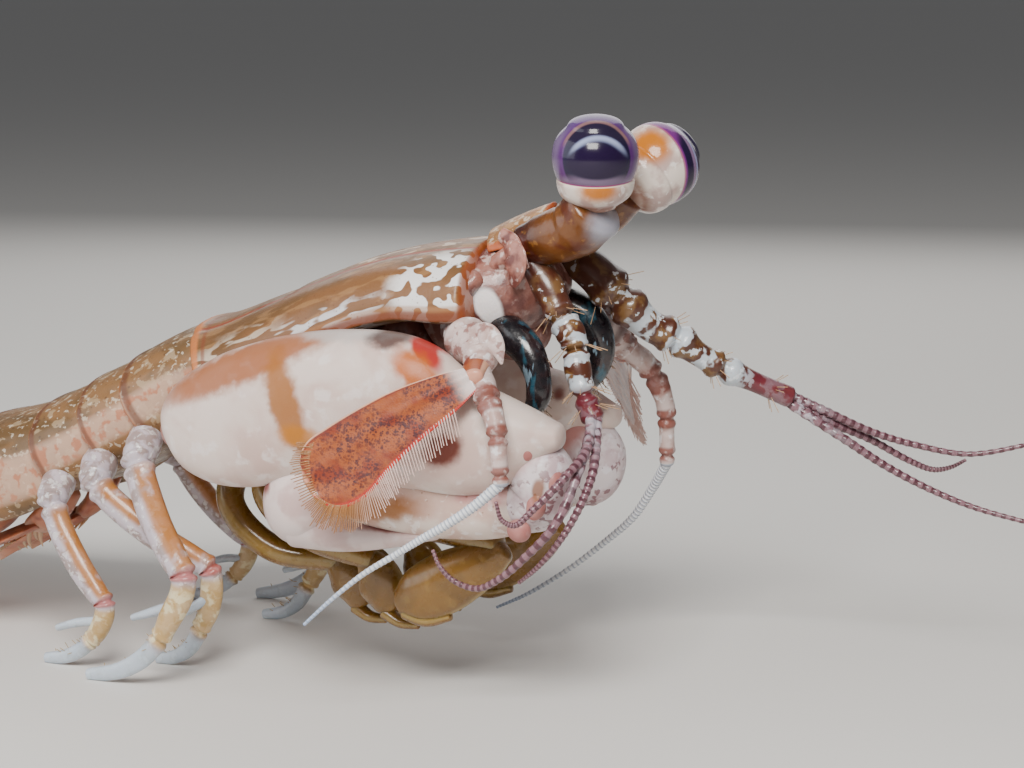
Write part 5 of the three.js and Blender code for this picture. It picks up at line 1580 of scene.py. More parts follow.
@dataclass
class TailFan:
    """The telson with its ridges and teeth, and the uropods at its sides."""

    profile: Sequence[Row] = ((0, 7.2, 2.2, 1.7), (0.15, 8.0, 2.2, 1.4), (0.45, 8.1, 1.9, 1.1),
                              (0.75, 7.0, 1.5, 0.9), (1, 5.0, 1.0, 0.7))
    teeth: Sequence[Row] = ((0.42, 8.0, 2.2), (0.78, 6.8, 2.6), (1.0, 3.1, 3.2))
    gap: float = 0.34
    side_ridges: Sequence[float] = (-5.4, -3.8, -2.0, 2.0, 3.8, 5.4)
    setae: int = 40
    spines: int = 9

    def at(self, share: float) -> Section:
        """The telson's section there.

        Args:
            share: 0 at the first slice and 1 at the last.

        Returns:
            The section.
        """
        start = sum(length for run in (TRUNK.thorax_run, TRUNK.abdomen_run) for length, _ in run)
        point, ahead, up = TRUNK.on_back(start + self.gap + share * (TRUNK.telson_run[0][0] - self.gap))
        wide, deep, keel = (read(self.profile, share, column) for column in (1, 2, 3))
        return Section(point - up * deep, ahead, up, wide, deep, keel / deep, 2.4)

    def ridge(self, piece: Sculpt, y: float, start: float, end: float, size: float) -> None:
        """A lengthwise swelling on the telson.

        Args:
            piece: The telson.
            y: Its distance from the middle.
            start, end: Shares of the telson's length.
            size: Half its width.
        """
        rows = []
        for share, wide, deep in ((start, 1, 0.9), ((start + end) / 2, 1, 1), (end, 0.7, 0.8)):
            slice_ = self.at(share)
            lift = slice_.deep * (1 - (abs(y) / slice_.wide) ** 2.4) ** (1 / 2.4)
            top = slice_.centre + slice_.up * lift
            rows.append((top.x, y, top.z, size * wide, size * deep))
        piece.limb(rows, (0, 0, 1), 16, 7)

    def build_telson(self, paint: bpy.types.Material) -> None:
        """The plate with its ridges, its teeth and the setae of its rear edge.

        Args:
            paint: The material.
        """
        piece = Sculpt("telson", "fin")
        piece.skin(self.at, steps=30, sides=48, caps=(0.0, 0.2))
        self.ridge(piece, 0, 0.08, 0.9, 0.8)
        for y in self.side_ridges:
            self.ridge(piece, y, 0.25, 0.86, 0.42)
        for share, y, length in self.teeth:
            for flip in (-1, 1):
                slice_ = self.at(share)
                root = slice_.centre + slice_.ahead * 1.6
                root.y = flip * (y - 1.2)
                tip = slice_.centre - slice_.ahead * length
                tip.y = flip * (y + 0.25)
                middle = root.lerp(tip, 0.5)
                piece.limb([(*root, 1.1, 0.65), (*middle, 0.85, 0.55), (*tip, 0.1, 0.1)], (0, 0, 1), 16, 6)
        draw = random.Random(3)
        for index in range(self.setae):
            y = -4.4 + 8.8 * index / (self.setae - 1)
            slice_ = self.at(0.97)
            root = slice_.centre - slice_.ahead * 0.2
            root.y = y
            tip = root - slice_.ahead * (1.1 + 0.4 * draw.random())
            tip.y += draw.uniform(-0.15, 0.15)
            piece.bristle(root, tip, 0.16, sides=4)
        piece.finish(paint)

    def build_uropod(self, side: Side, paint: bpy.types.Material) -> None:
        """A two-part stem with spines, two leaves and two prongs.

        Args:
            side: Which side.
            paint: The material.
        """
        flip = -side.value

        def on(x: float, y: float, z: float) -> tuple[float, float, float]:
            """A right-side place on either side."""
            return (x, -flip * y, z)

        piece = Sculpt(f"uropod_{side.word}", "fin")
        outer = Vector(on(0.25, 0.35, 1))
        piece.limb([(*on(-65.6, -6.0, 7.8), 1.6, 1.5), (*on(-67.8, -8.6, 7.0), 2.0, 1.7),
                    (*on(-69.8, -10.2, 5.9), 1.7, 1.3)], sides=24, per_span=6)
        piece.limb([(*on(-69.0, -10.4, 6.3), 1.5, 0.9), (*on(-72.6, -12.6, 4.9), 2.0, 0.9),
                    (*on(-76.4, -14.8, 3.0), 1.8, 0.8)], outer, 24, 6)
        for index in range(self.spines):
            share = index / (self.spines - 1)
            root = Vector(on(-70.4 - 5.6 * share, -12.4 - 3.2 * share, 5.8 - 2.7 * share))
            tip = Vector(on(-71.9 - 6.4 * share, -14.5 - 3.0 * share, 5.2 - 3.0 * share))
            piece.bristle(root, tip, 0.6, sides=8)
        add_leaf(piece, Vector(on(-75.8, -14.3, 3.1)), Vector(on(-81.4, -17.2, 1.0)), 2.6, 0.45, outer, 34,
                 1.6, 0.2)
        add_leaf(piece, Vector(on(-69.4, -9.4, 4.8)), Vector(on(-79.4, -12.2, 0.8)), 2.0, 0.45,
                 Vector(on(0.45, 0.1, 1)), 34, 1.5, 0.2)
        for y, lift in ((-5.2, 0.9), (-7.0, 0.4)):
            piece.limb([(*on(-68.6, -8.0, 5.4), 1.2, 0.8), (*on(-73.4, (y - 8) / 2, 3.1 + lift), 0.9, 0.6),
                        (*on(-79.6, y, 0.9 + lift), 0.3, 0.3)], sides=18, per_span=7)
        for vert in piece.mesh.verts:
            vert.co.z = max(vert.co.z, FLOOR_GAP)
        piece.finish(paint)

    def build(self, paint: bpy.types.Material) -> None:
        """Telson and uropods, all of one material.

        Args:
            paint: The material.
        """
        self.build_telson(paint)
        for side in Side:
            self.build_uropod(side, paint)


# Paints

def paint_carapace() -> bpy.types.Material:
    """Tan-brown shell with white marbling on its sides, thin red-brown grooves and orange margins.

    Returns:
        The material.
    """
    paint = Paint("carapace_shell", 0x7d5430, SHELL)
    paint.over(paint.mottle(0.3, 0.42, 0.62, (0.5, 1, 1), turn=22), 0x664826, 0.75)
    paint.over(paint.mottle(0.8, 0.52, 0.62, (0.35, 1, 1.3), turn=22), 0x9e754a, 0.6)
    blots = paint.mottle(1.05, 0.47, 0.51, (0.85, 1, 1.15), 0.6, 30)
    streaks = paint.mottle(1.1, 0.49, 0.54, (0.35, 1, 1.3), 1.0, 24)
    for flip in (-1, 1):
        front = paint.patch((25.0, flip * 8.5, 33.2), (3.9, 5.0, 3.0), 20, 0.25, 1.2)
        middle = paint.patch((15.4, flip * 8.5, 28.9), (5.8, 4.5, 1.7), 24, 0.35, 1.4)
        rear = paint.patch((7.4, flip * 9.0, 26.2), (5.4, 4.0, 1.9), 26, 0.4, 1.4)
        paint.over(paint.times(blots, front), 0xe9e6e4)
        paint.over(paint.times(streaks, middle), 0xd5d4d6, 0.95)
        paint.over(paint.times(streaks, rear), 0xcdbba6, 0.85)
    fleck = paint.mottle(1.0, 0.56, 0.6, (0.5, 1, 1.2), 2.0, 22)
    paint.over(paint.times(fleck, paint.patch((20, 0, 36), (11, 5.0, 3.0), 20, 0.3, 1.0)), 0xd6c3ae, 0.7)
    paint.over(paint.speckle(2.6, 0.3), 0x63351d, 0.45)
    slant = number(paint.tree, "MULTIPLY_ADD", paint.along, 1.5, paint.size(paint.axis("Y")))
    line = paint.ramp(0.3, 0.08, paint.size(number(paint.tree, "SUBTRACT", slant, 5.45)))
    paint.over(line, 0x8a3212, 0.9)
    edge = paint.size(paint.aside)
    paint.over(paint.ramp(0.985, 0.992, edge), 0xa87448, 0.6)
    paint.over(paint.ramp(0.993, 0.999, edge), 0x6e2c14, 0.8)
    paint.over(paint.ramp(0.988, 0.997), 0x9a4a1e, 0.8)
    paint.over(paint.times(paint.ramp(0.055, 0.04), paint.ramp(0.0, 0.02)), 0xc7763e, 0.85)
    paint.over(paint.times(paint.ramp(0.085, 0.075), paint.ramp(0.06, 0.068)), 0x7a3a1e, 0.6)
    return paint.done()


def paint_back() -> bpy.types.Material:
    """Olive-brown rings with darker clouds, pale specks, pinkish side flaps and an orange rear rim.

    Returns:
        The material.
    """
    paint = Paint("back_shell", 0x86603a, SHELL)
    paint.over(paint.mottle(0.28, 0.42, 0.62, (0.8, 1.0, 1.0)), 0x5c4526, 0.8)
    paint.over(paint.mottle(0.8, 0.56, 0.62), 0xb39a78, 0.6)
    paint.over(paint.mottle(1.7, 0.6, 0.64), 0xd8cab4, 0.55)
    paint.over(paint.speckle(2.0, 0.32), 0x40281a, 0.55)
    flap = paint.ramp(0.97, 1.0, paint.size(paint.aside))
    paint.over(flap, 0xcaa892, 0.75)
    paint.over(paint.times(flap, paint.mottle(0.9, 0.52, 0.6)), 0xb0623c, 0.7)
    paint.over(paint.times(paint.ramp(0.86, 0.9), paint.ramp(0.97, 0.93)), 0x5a2a16, 0.7)
    paint.over(paint.ramp(0.94, 0.98), 0xb8622f, 0.85)
    return paint.done()


def paint_hood() -> bpy.types.Material:
    """Olive-tan plate with an orange-red bead.

    Returns:
        The material.
    """
    paint = Paint("hood_shell", 0x8f633a, SHELL)
    paint.over(paint.mottle(0.9, 0.45, 0.6), 0xb89068, 0.6)
    paint.over(paint.mottle(1.6, 0.56, 0.62), 0xd8c8b4, 0.6)
    paint.over(paint.ramp(0.8, 0.93, paint.size(paint.aside)), 0xb04f1e, 0.85)
    paint.over(paint.ramp(0.86, 0.95), 0xa2461c, 0.85)
    return paint.done()


def paint_flesh() -> bpy.types.Material:
    """Pinkish flesh with maroon clouds, painted maroon shade that darkens it towards the bottom, and one
    bright white oval on each side.

    Returns:
        The material.
    """
    paint = Paint("soft_flesh", 0xab7466, FLESH)
    paint.over(paint.mottle(0.5, 0.44, 0.58), 0x5e241c, 0.88)
    paint.over(paint.mottle(1.1, 0.54, 0.64), 0xdcc2ba, 0.75)
    # Painted shade: darker maroon towards the bottom, low under the hood and head.
    paint.over(paint.ramp(36.5, 30.5, paint.axis("Z")), 0x4c1c16, 0.6)
    for flip in (-1, 1):
        paint.over(paint.patch((28.2, flip * 5.6, 30.6), (1.5, 2.6, 2.2), 20, 0.3, 0.4), 0x4a1d16, 0.8)
        paint.over(paint.patch((28.3, flip * 5.6, 31.2), (0.95, 2.4, 1.5), 24, 0.2, 0.25), 0xefe9e8, 0.97)
    return paint.done()


def paint_eye(side: Side, eyes: Eyes) -> bpy.types.Material:
    """Glassy globe with navy and blue-white arcs round a violet heart, over a cup with an ochre patch.

    Args:
        side: Which eye.
        eyes: The eyes' sizes.

    Returns:
        The material.
    """
    paint = Paint(f"eye_glass_{side.word}", 0xdccfc4, GLASSY)
    axis = Vector(eyes.axes[side]).normalized()
    middle = Vector(eyes.bases[side]) + axis * eyes.globe_height
    cup = eyes.cup
    paint.over(paint.mottle(0.5, 0.42, 0.6), 0xa98a86, 0.75)
    paint.over(paint.mottle(1.3, 0.56, 0.64), 0xf1ece8, 0.6)
    if side is Side.RIGHT:
        ochre = paint.oval(middle - PHOTO_UP * 2.6 + PHOTO_RIGHT * 0.1, PHOTO_RIGHT, PHOTO_UP, (1.5, 0.85))
    else:
        ochre = paint.oval(Vector((39.5, 0.5, 43.8)), PHOTO_RIGHT, PHOTO_UP, (1.7, 1.5))
    paint.over(paint.ramp(1.35, 0.5, ochre), 0xb86a08, 0.97)
    paint.over(paint.ramp(0.1, 0.02), 0x7c4a30, 0.7)
    if side is Side.LEFT:
        return paint_far_eye(paint, middle)
    globe = paint.ramp(cup, cup + 0.015)
    paint.over(globe, 0x6e5a7c)
    rise = paint.away(middle, PHOTO_UP)
    paint.over(paint.times(globe, paint.ramp(1.2, 3.0, rise)), 0x4a2c6a, 0.8)
    band = paint.oval(middle - PHOTO_UP * 0.2, PHOTO_RIGHT, PHOTO_UP, (2.65, 2.8))
    paint.over(paint.times(globe, paint.ramp(1.2, 1.02, band)), 0x4f2064, 0.9)
    paint.over(paint.times(globe, paint.ramp(1.08, 1.03, band), paint.ramp(0.5, 1.5, rise)), 0x8a6a5a, 0.7)
    paint.over(paint.times(globe, paint.ramp(1.0, 0.94, band)), 0x15132e, 0.95)
    arc = paint.oval(middle - PHOTO_UP * 0.55 + PHOTO_RIGHT * 0.1, PHOTO_RIGHT, PHOTO_UP, (2.5, 2.2))
    ring = paint.times(paint.ramp(1.0, 0.88, arc), paint.ramp(0.66, 0.86, arc), paint.ramp(-0.3, 1.1, rise))
    paint.over(paint.times(globe, ring), 0xa3add2, 0.8)
    heart = paint.oval(middle - PHOTO_UP * 0.5, PHOTO_RIGHT, PHOTO_UP, (2.3, 1.25))
    paint.over(paint.times(globe, paint.ramp(1.1, 0.9, heart)), 0x1e1030, 0.95)
    low = paint.times(globe, paint.ramp(-1.2, -1.9, rise), paint.ramp(0.95, 1.15, heart))
    paint.over(low, 0x7d6a86, 0.8)
    hem = paint.times(paint.ramp(cup - 0.02, cup), paint.ramp(cup + 0.035, cup + 0.015))
    paint.over(hem, 0x8e2d6c, 0.9)
    paint.over(paint.times(paint.ramp(cup - 0.045, cup - 0.03), paint.ramp(cup - 0.005, cup - 0.02)),
               0xe6d2c0, 0.8)
    return paint.done()


def paint_far_eye(paint: Paint, middle: Vector) -> bpy.types.Material:
    """The globe of the eye that looks away: a purple crescent and a navy band over a large cup.

    Args:
        paint: The eye's paint, with its cup done.
        middle: The globe's middle.

    Returns:
        The material.
    """
    reach = paint.away(middle, Vector((0.064, 0.96, 0.27)) / FAR_GLOBE)
    right = paint.away(middle, PHOTO_RIGHT / FAR_GLOBE)
    total = number(paint.tree, "MULTIPLY_ADD", right, 0.45, reach)
    edge = -0.1
    globe = paint.ramp(edge, edge + 0.04, total)
    paint.over(globe, 0x6a2a72)
    paint.over(paint.times(globe, paint.ramp(edge + 0.3, edge + 0.4, total)), 0x86708c, 0.8)
    heart = paint.times(paint.ramp(edge + 0.06, edge + 0.12, total),
                        paint.ramp(edge + 0.42, edge + 0.34, total), paint.ramp(0.35, 0.6, right))
    paint.over(heart, 0x15132e, 0.95)
    paint.over(paint.ramp(edge + 0.62, edge + 0.7, total), 0x1f1838, 0.95)
    paint.over(paint.times(paint.ramp(edge + 0.52, edge + 0.56, total),
                           paint.ramp(edge + 0.64, edge + 0.6, total)), 0x9aa4cf, 0.85)
    paint.over(paint.times(paint.ramp(edge - 0.06, edge - 0.02, total),
                           paint.ramp(edge + 0.05, edge + 0.02, total)), 0x8e2d6c, 0.8)
    return paint.done()


def paint_stalk(side: Side) -> bpy.types.Material:
    """Maroon root, orange-brown middle and a bluish-white top.

    Args:
        side: Which one.

    Returns:
        The material.
    """
    paint = Paint(f"stalk_skin_{side.word}", 0x683a0a, HORN)
    paint.over(paint.ramp(0.5, 0.1), 0x340f08, 0.95)
    paint.over(paint.mottle(0.6, 0.48, 0.64), 0x521a0c, 0.7)
    paint.over(paint.mottle(1.5, 0.58, 0.7), 0x9c6a2c, 0.5)
    paint.over(paint.times(paint.patch((38.4, -4.5, 38.1), (1.5, 4.0, 2.2), -25, 0.5, 0.8),
                           paint.ramp(0.4, 0.6)), 0xa9adbc, 0.8)
    return paint.done()


def paint_antennule(side: Side) -> bpy.types.Material:
    """Brown and olive segments with bluish-white blotches, dark at the root, and purple-pink whips.

    Args:
        side: Which one.

    Returns:
        The material.
    """
    paint = Paint(f"antennule_skin_{side.word}", 0x4f2818, HORN)
    paint.over(paint.mottle(0.7, 0.46, 0.58), 0x7c5c34, 0.75)
    later = paint.ramp(0.1, 0.16)
    pale = paint.times(later, paint.bands(15.0, 0.42, 0.9, 0.2), paint.mottle(0.9, 0.36, 0.46))
    paint.over(pale, 0xc3ccd4, 0.95)
    paint.over(paint.mottle(1.4, 0.6, 0.64), 0xdfe6ec, 0.8)
    paint.over(paint.ramp(0.1, 0.0), 0x3c1712, 0.9)
    paint.over(paint.times(paint.ramp(0.36, 0.4), paint.ramp(0.48, 0.45)), 0x6c1f30, 0.85)
    whip = paint.ramp(0.495, 0.5)
    paint.over(whip, 0x55303a)
    paint.over(paint.times(whip, paint.bands(64.0, 0.45, 0.1)), 0x94707a, 0.7)
    paint.over(paint.times(whip, paint.ramp(0.62, 0.5), paint.mottle(1.0, 0.45, 0.55)), 0xd9d2dc, 0.7)
    paint.over(paint.ramp(1.95, 2.0), 0xb9906a)
    return paint.done()


def paint_antenna(side: Side) -> bpy.types.Material:
    """Chalk-white stem with red-brown bands and a white ringed whip with a bluish tip.

    Args:
        side: Which one.

    Returns:
        The material.
    """
    paint = Paint(f"antenna_skin_{side.word}", 0xcdb9b4, CHALK)
    paint.over(paint.mottle(0.6, 0.42, 0.62), 0xa5786c, 0.65)
    paint.over(paint.mottle(1.3, 0.54, 0.66), 0xeeecee, 0.7)
    paint.over(paint.times(paint.mottle(0.9, 0.54, 0.6), paint.ramp(0.18, 0.14)), 0x7c4034, 0.7)
    for low, high in ((0.27, 0.32), (0.365, 0.4), (0.46, 0.485)):
        paint.over(paint.times(paint.ramp(low - 0.01, low), paint.ramp(high + 0.01, high),
                               paint.mottle(1.1, 0.3, 0.5)), 0x7a3524, 0.85)
    whip = paint.ramp(0.495, 0.5)
    paint.over(whip, 0xdfe2e6)
    paint.over(paint.times(whip, paint.bands(112.0, 0.3, 0.05)), 0x8f97a8, 0.75)
    paint.over(paint.ramp(0.8, 1.0), 0x7f9cc4, 0.6)
    return paint.done()


def paint_scale(side: Side) -> bpy.types.Material:
    """Salmon blade with purple-brown speckles, pale rims, a red lower edge and golden setae at the tip.

    Args:
        side: Which one.

    Returns:
        The material.
    """
    paint = Paint(f"scale_skin_{side.word}", 0x9e4e20, BLADE)
    aside = number(paint.tree, "MULTIPLY", paint.aside, float(side.value))
    paint.over(paint.mottle(0.5, 0.44, 0.62), 0x7c2410, 0.8)
    dense = paint.mottle(0.45, 0.36, 0.6)
    paint.over(paint.times(paint.speckle(3.4, 0.85), dense), 0x4a1a1e, 0.85)
    paint.over(paint.times(paint.speckle(5.6, 0.9), dense), 0x3f1820, 0.8)
    paint.over(paint.ramp(0.93, 0.97, aside), 0xe2ad8e, 0.8)
    paint.over(paint.times(paint.ramp(0.86, 0.9, aside), paint.ramp(0.94, 0.92, aside)), 0x7a2a1c, 0.7)
    paint.over(paint.ramp(0.9, 0.98), 0xdc9c82, 0.85)
    paint.over(paint.ramp(0.12, 0.02), 0xe4d6d2, 0.85)
    paint.over(paint.times(paint.ramp(-0.78, -0.9, aside), paint.bands(90.0, 0.8, 0.1)), 0xb81608, 0.95)
    paint.over(paint.ramp(1.95, 2.0), 0xdcbcb2)
    tip = paint.times(paint.ramp(1.95, 2.0), paint.ramp(26.0, 22.5, paint.axis("X")))
    paint.over(tip, 0x9c6a3c)
    return paint.done()


def paint_merus(side: Side, shift: Row) -> bpy.types.Material:
    """Porcelain white and pink with orange-brown bands and red and yellow front marks.

    Args:
        side: Which claw.
        shift: How far the claw was moved.

    Returns:
        The material.
    """
    paint = Paint(f"merus_porcelain_{side.word}", 0xdccbc2, PORCELAIN, side, shift)
    paint.over(paint.mottle(0.22, 0.4, 0.66), 0xc4a298, 0.7)
    paint.over(paint.mottle(0.7, 0.55, 0.68), 0xe6dcd8, 0.7)
    paint.over(paint.patch((11.9, -13.5, 27.2), (9.2, 8.0, 1.55), 24, 0.3, 1.2), 0x985010, 0.88)
    paint.over(paint.patch((9.4, -12.0, 28.0), (8.4, 8.0, 0.55), 26, 0.5, 0.8), 0xc4a594, 0.75)
    paint.over(paint.patch((15.4, -14.5, 24.2), (1.35, 4.0, 4.0), 20, 0.3, 1.2), 0x9a5c14, 0.88)
    paint.over(paint.patch((16.6, -14.5, 21.6), (1.7, 4.0, 0.95), 0, 0.35, 0.8), 0xb87420, 0.85)
    paint.over(paint.patch((19.8, -12.5, 29.6), (4.2, 4.0, 0.7), 3, 0.4, 0.9), 0xbcb4b0, 0.8)
    paint.over(paint.patch((23.2, -12.5, 29.4), (1.7, 4.0, 0.75), 0, 0.4, 1.0), 0x3a1c16, 0.85)
    paint.over(paint.patch((26.1, -12.3, 28.5), (2.0, 4.0, 0.55), -42, 0.3, 0.5), 0xa80f04, 0.95)
    paint.over(paint.patch((25.9, -13.2, 27.0), (2.2, 4.0, 1.05), -38, 0.35, 0.9), 0xb45a00, 0.97)
    paint.over(paint.patch((28.2, -13.2, 21.2), (1.6, 5.0, 1.3), 35, 0.35, 0.9), 0x5c1c0a, 0.95)
    paint.over(paint.patch((31.8, -11.5, 23.9), (0.6, 5.0, 0.6), 0, 0.4, 0.5), 0x7a2a1a, 0.85)
    paint.over(paint.ramp(0.05, 0.005), 0x8e4a3e, 0.75)
    paint.over(paint.patch((30.5, -11.5, 25.9), (3.4, 4.0, 0.5), 14, 0.4, 0.5), 0xb8705c, 0.6)
    return paint.done()


def paint_carpus(side: Side, shift: Row) -> bpy.types.Material:
    """White with orange-red rims, brown marks and painted magenta shade below.

    Args:
        side: Which one.
        shift: How far the claw was moved.

    Returns:
        The material.
    """
    paint = Paint(f"carpus_porcelain_{side.word}", 0xdbd0d2, PORCELAIN, side, shift)
    paint.over(paint.mottle(0.5, 0.42, 0.64), 0xb08a92, 0.6)
    paint.over(paint.mottle(1.0, 0.55, 0.7), 0xeceaf0, 0.6)
    paint.over(paint.ramp(0.24, 0.02), 0xa8442a, 0.7)
    # Painted shade: cloudy dark magenta over the lower part of the carpus.
    paint.over(paint.times(paint.mottle(1.1, 0.56, 0.62), paint.ramp(0.1, 0.4)), 0x6c2430, 0.7)
    paint.over(paint.patch((35.3, -11.5, 18.3), (0.5, 4.0, 0.9), -10, 0.3, 0.4), 0x8c5a3a, 0.85)
    return paint.done()


def paint_propodus(side: Side, shift: Row) -> bpy.types.Material:
    """Cream with an orange-brown patch along its middle and a rosy front.

    Args:
        side: Which one.
        shift: How far the claw was moved.

    Returns:
        The material.
    """
    paint = Paint(f"propodus_porcelain_{side.word}", 0xdccbc0, PORCELAIN, side, shift)
    paint.over(paint.mottle(0.35, 0.44, 0.64), 0xc4a092, 0.75)
    paint.over(paint.mottle(1.2, 0.58, 0.66), 0xeae2de, 0.7)
    paint.over(paint.patch((21.6, -12.5, 15.9), (3.9, 4.0, 1.1), 4, 0.45, 1.4), 0x9a5c14, 0.88)
    paint.over(paint.patch((30.4, -11.5, 17.4), (2.2, 4.0, 0.8), 0, 0.6, 1.2), 0xa85a66, 0.6)
    paint.over(paint.speckle(1.4, 0.18), 0x7a5030, 0.5)
    return paint.done()


def paint_dactyl(side: Side, shift: Row) -> bpy.types.Material:
    """White-pink heel with a rosy mark and a dark-red line along the finger.

    Args:
        side: Which one.
        shift: How far the claw was moved.

    Returns:
        The material.
    """
    paint = Paint(f"dactyl_porcelain_{side.word}", 0xdbcac6, PORCELAIN, side, shift)
    paint.over(paint.mottle(0.4, 0.44, 0.64), 0xbd9c98, 0.7)
    paint.over(paint.patch((12.4, -13.0, 17.4), (0.6, 4.0, 1.0), 0, 0.4, 0.6), 0x7c2a22, 0.8)
    paint.over(paint.patch((23.4, -11.0, 14.2), (3.6, 5.0, 0.35), 0, 0.4, 0.3), 0x6a1e16, 0.9)
    return paint.done()


def paint_ink() -> bpy.types.Material:
    """Blue-black with a painted teal sheen, pale blue painted highlights and brown bristles.

    Returns:
        The material.
    """
    paint = Paint("ink_skin", 0x120f14, INK)
    paint.over(paint.mottle(0.6, 0.46, 0.62), 0x2a1a1c, 0.8)
    # Painted sheen and highlights: teal clouds, then pale blue streaks, stand in for light on the glossy
    # limb.
    paint.over(paint.mottle(0.8, 0.56, 0.66, (1, 1, 0.4)), 0x1f4f60, 0.8)
    paint.over(paint.mottle(1.5, 0.64, 0.7, (1, 1, 0.3)), 0x8aa6b8, 0.6)
    paint.over(paint.ramp(1.95, 2.0), 0x6a5038)
    return paint.done()


def paint_amber() -> bpy.types.Material:
    """Clear amber and yellow-green with paler rims.

    Returns:
        The material.
    """
    paint = Paint("amber_skin", 0x7e5a1e, AMBER)
    paint.over(paint.mottle(0.35, 0.42, 0.62), 0x5c4216, 0.45)
    paint.over(paint.mottle(0.9, 0.58, 0.68), 0xa08040, 0.3)
    paint.over(paint.ramp(0.86, 0.98, paint.size(paint.aside)), 0xb09858, 0.45)
    paint.over(paint.speckle(2.4, 0.22), 0x5c3a14, 0.5)
    return paint.done()


def paint_leg(side: Side) -> bpy.types.Material:
    """Mottled white hips, lilac-white legs with gold stripes and red knees, yellow shins and bluish feet.

    Args:
        side: Which one.

    Returns:
        The material.
    """
    paint = Paint(f"leg_skin_{side.word}", 0xc2b6be, HORN)
    paint.over(paint.mottle(0.8, 0.46, 0.58), 0x8c7468, 0.7)
    paint.over(paint.mottle(1.6, 0.55, 0.62), 0xe2dfe0, 0.7)
    upper = paint.times(paint.ramp(0.02, 0.06), paint.ramp(0.4, 0.37))
    stripe = paint.ramp(0.05, -0.45, paint.aside)
    paint.over(paint.times(upper, stripe, paint.mottle(0.5, 0.25, 0.45)), 0xa8660a, 0.88)
    paint.over(paint.times(paint.ramp(0.37, 0.4), paint.ramp(0.44, 0.42)), 0xa8321c, 0.7)
    paint.over(paint.times(paint.ramp(0.43, 0.47), paint.ramp(0.74, 0.7)), 0xc09a48, 0.75)
    paint.over(paint.times(paint.ramp(0.45, 0.5), paint.ramp(0.74, 0.7), paint.mottle(0.9, 0.5, 0.6)),
               0xe6dcb4, 0.7)
    paint.over(paint.times(paint.ramp(0.7, 0.76), paint.ramp(1.5, 1.2)), 0xb4c4d0, 0.8)
    paint.over(paint.ramp(1.95, 2.0), 0xa88e66)
    return paint.done()


def paint_gill() -> bpy.types.Material:
    """Translucent salmon leaves with paler tips and fawn setae.

    Returns:
        The material.
    """
    paint = Paint("gill_skin", 0xbf7858, LEAF)
    paint.over(paint.mottle(0.6, 0.44, 0.62), 0x8f4430, 0.7)
    paint.over(paint.ramp(0.7, 1.0), 0xd9ae94, 0.6)
    paint.over(paint.ramp(1.95, 2.0), 0xc29a78)
    return paint.done()


def paint_fin() -> bpy.types.Material:
    """Tan-olive tail fan with dark clouds, pale flecks and orange edges.

    Returns:
        The material.
    """
    paint = Paint("fin_shell", 0x8a6438, SHELL)
    paint.over(paint.mottle(0.4, 0.44, 0.62), 0x55401f, 0.8)
    paint.over(paint.mottle(1.0, 0.57, 0.64), 0xbfa27a, 0.6)
    paint.over(paint.speckle(2.2, 0.3), 0x3a2414, 0.5)
    paint.over(paint.times(paint.ramp(0.8, 1.0), paint.ramp(1.6, 1.4)), 0xab5526, 0.75)
    paint.over(paint.ramp(1.95, 2.0), 0xb87e58)
    return paint.done()


# Studio

@dataclass(frozen=True)
class Lamp:
    """One square lamp; its place and target are in working millimetres, its size in metres."""

    name: str
    point: Row
    target: Row
    size: float
    power: float
    colour: Row


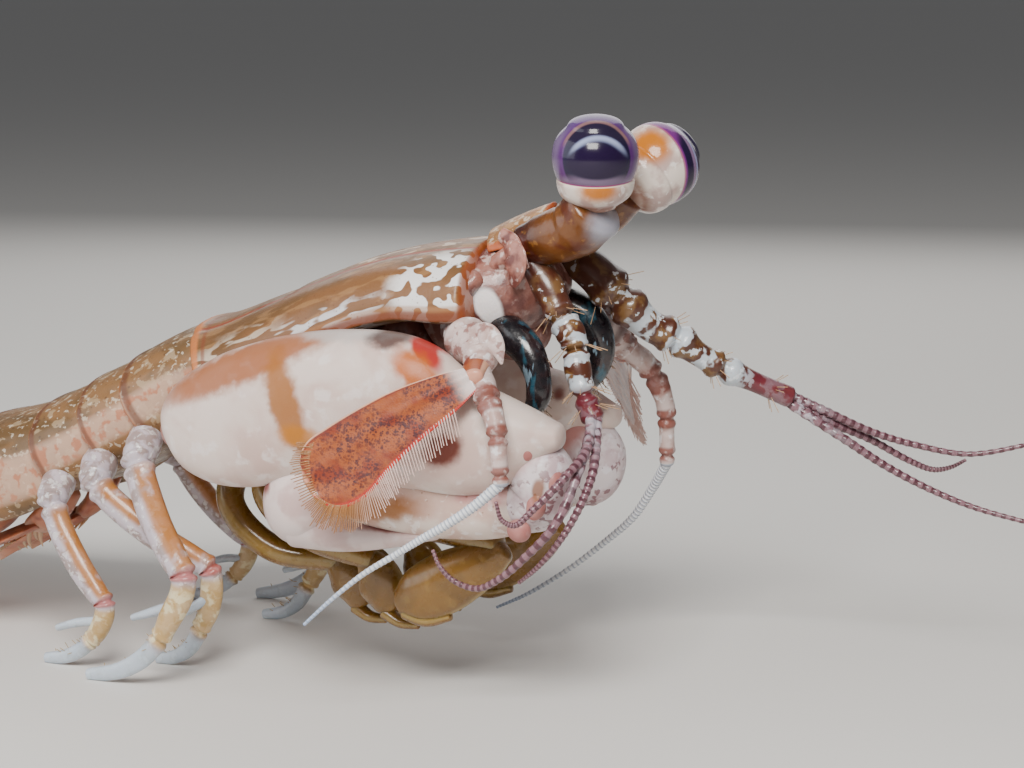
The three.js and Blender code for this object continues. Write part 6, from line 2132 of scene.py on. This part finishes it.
@dataclass
class Studio:
    """The photograph's viewpoint, a pale floor and soft lights."""

    camera_place: Row = (110.79, -186.29, 56.53)
    azimuth: float = 24.0
    elevation: float = 9.0
    lens: float = 90.0
    near: float = 0.01
    floor_size: float = 30.0
    floor_colour: Row = (0.72, 0.7, 0.67, 1)
    floor_roughness: float = 0.8
    sky_colour: Row = (0.86, 0.88, 0.92, 1)
    sky_strength: float = 0.15
    lamps: Sequence[Lamp] = (
        Lamp("key", (90, -240, 250), (10, 0, 20), 0.14, 1.7, (1.0, 0.97, 0.93)),
        Lamp("fill", (-200, -160, 140), (0, 0, 20), 0.25, 0.45, (0.92, 0.96, 1.0)),
        Lamp("back", (-60, 240, 200), (0, 0, 20), 0.3, 0.45, (1.0, 0.98, 0.96)))

    def place(self, point: Row) -> Vector:
        """A working place in the frame's metres."""
        return (Vector(point) - ORIGIN) * MM

    def add_camera(self) -> None:
        """Stands the camera at the photograph's angle."""
        data = bpy.data.cameras.new("camera")
        data.lens = self.lens
        data.clip_start = self.near
        camera = bpy.data.objects.new("camera", data)
        camera.location = self.place(self.camera_place)
        camera.rotation_euler = (math.radians(90 - self.elevation), 0, math.radians(self.azimuth))
        bpy.context.scene.collection.objects.link(camera)
        bpy.context.scene.camera = camera

    def add_lamp(self, lamp: Lamp) -> None:
        """Hangs one lamp.

        Args:
            lamp: What it is.
        """
        data = bpy.data.lights.new(lamp.name, "AREA")
        data.size = lamp.size
        data.energy = lamp.power
        data.color = lamp.colour
        light = bpy.data.objects.new(lamp.name, data)
        light.location = self.place(lamp.point)
        way = self.place(lamp.target) - light.location
        light.rotation_euler = way.to_track_quat("-Z", "Y").to_euler()
        bpy.context.scene.collection.objects.link(light)

    def add_floor(self) -> None:
        """A plain pale floor."""
        mesh = bmesh.new()
        bmesh.ops.create_grid(mesh, x_segments=1, y_segments=1, size=self.floor_size / 2)
        data = bpy.data.meshes.new("floor")
        mesh.to_mesh(data)
        mesh.free()
        material = bpy.data.materials.new("floor_paint")
        material.use_nodes = True
        shader = material.node_tree.nodes["Principled BSDF"]
        shader.inputs["Base Color"].default_value = self.floor_colour
        shader.inputs["Roughness"].default_value = self.floor_roughness
        data.materials.append(material)
        floor = bpy.data.objects.new("floor", data)
        bpy.context.scene.collection.objects.link(floor)

    def build(self) -> None:
        """Camera, floor, lights and a pale world."""
        self.add_camera()
        self.add_floor()
        for lamp in self.lamps:
            self.add_lamp(lamp)
        world = bpy.data.worlds.new("studio")
        world.use_nodes = True
        world.node_tree.nodes["Background"].inputs["Color"].default_value = self.sky_colour
        world.node_tree.nodes["Background"].inputs["Strength"].default_value = self.sky_strength
        bpy.context.scene.world = world


def main() -> None:
    """Builds the studio, then the animal from its back to its feet."""
    logging.basicConfig(level=logging.INFO)
    Studio().build()
    TRUNK.build(paint_carapace(), paint_back())
    Head().build(paint_hood(), paint_flesh())
    eyes, feelers, claw = Eyes(), Feelers(), Claw()
    mouth, legs = Mouthparts(), WalkingLegs()
    ink, amber = paint_ink(), paint_amber()
    for side in Side:
        eyes.build(side, paint_eye(side, eyes), paint_stalk(side))
        feelers.build_antennule(side, paint_antennule(side))
        feelers.build_antenna(side, paint_antenna(side))
        feelers.build_scale(side, paint_scale(side))
        shift = claw.shifts[side]
        claw.build(side, {"merus": paint_merus(side, shift), "carpus": paint_carpus(side, shift),
                          "propodus": paint_propodus(side, shift), "dactyl": paint_dactyl(side, shift)})
        mouth.build(side, ink, amber)
        legs.build(side, paint_leg(side))
    SwimmingLegs().build(paint_gill())
    TailFan().build(paint_fin())


if __name__ == "__main__":
    main()
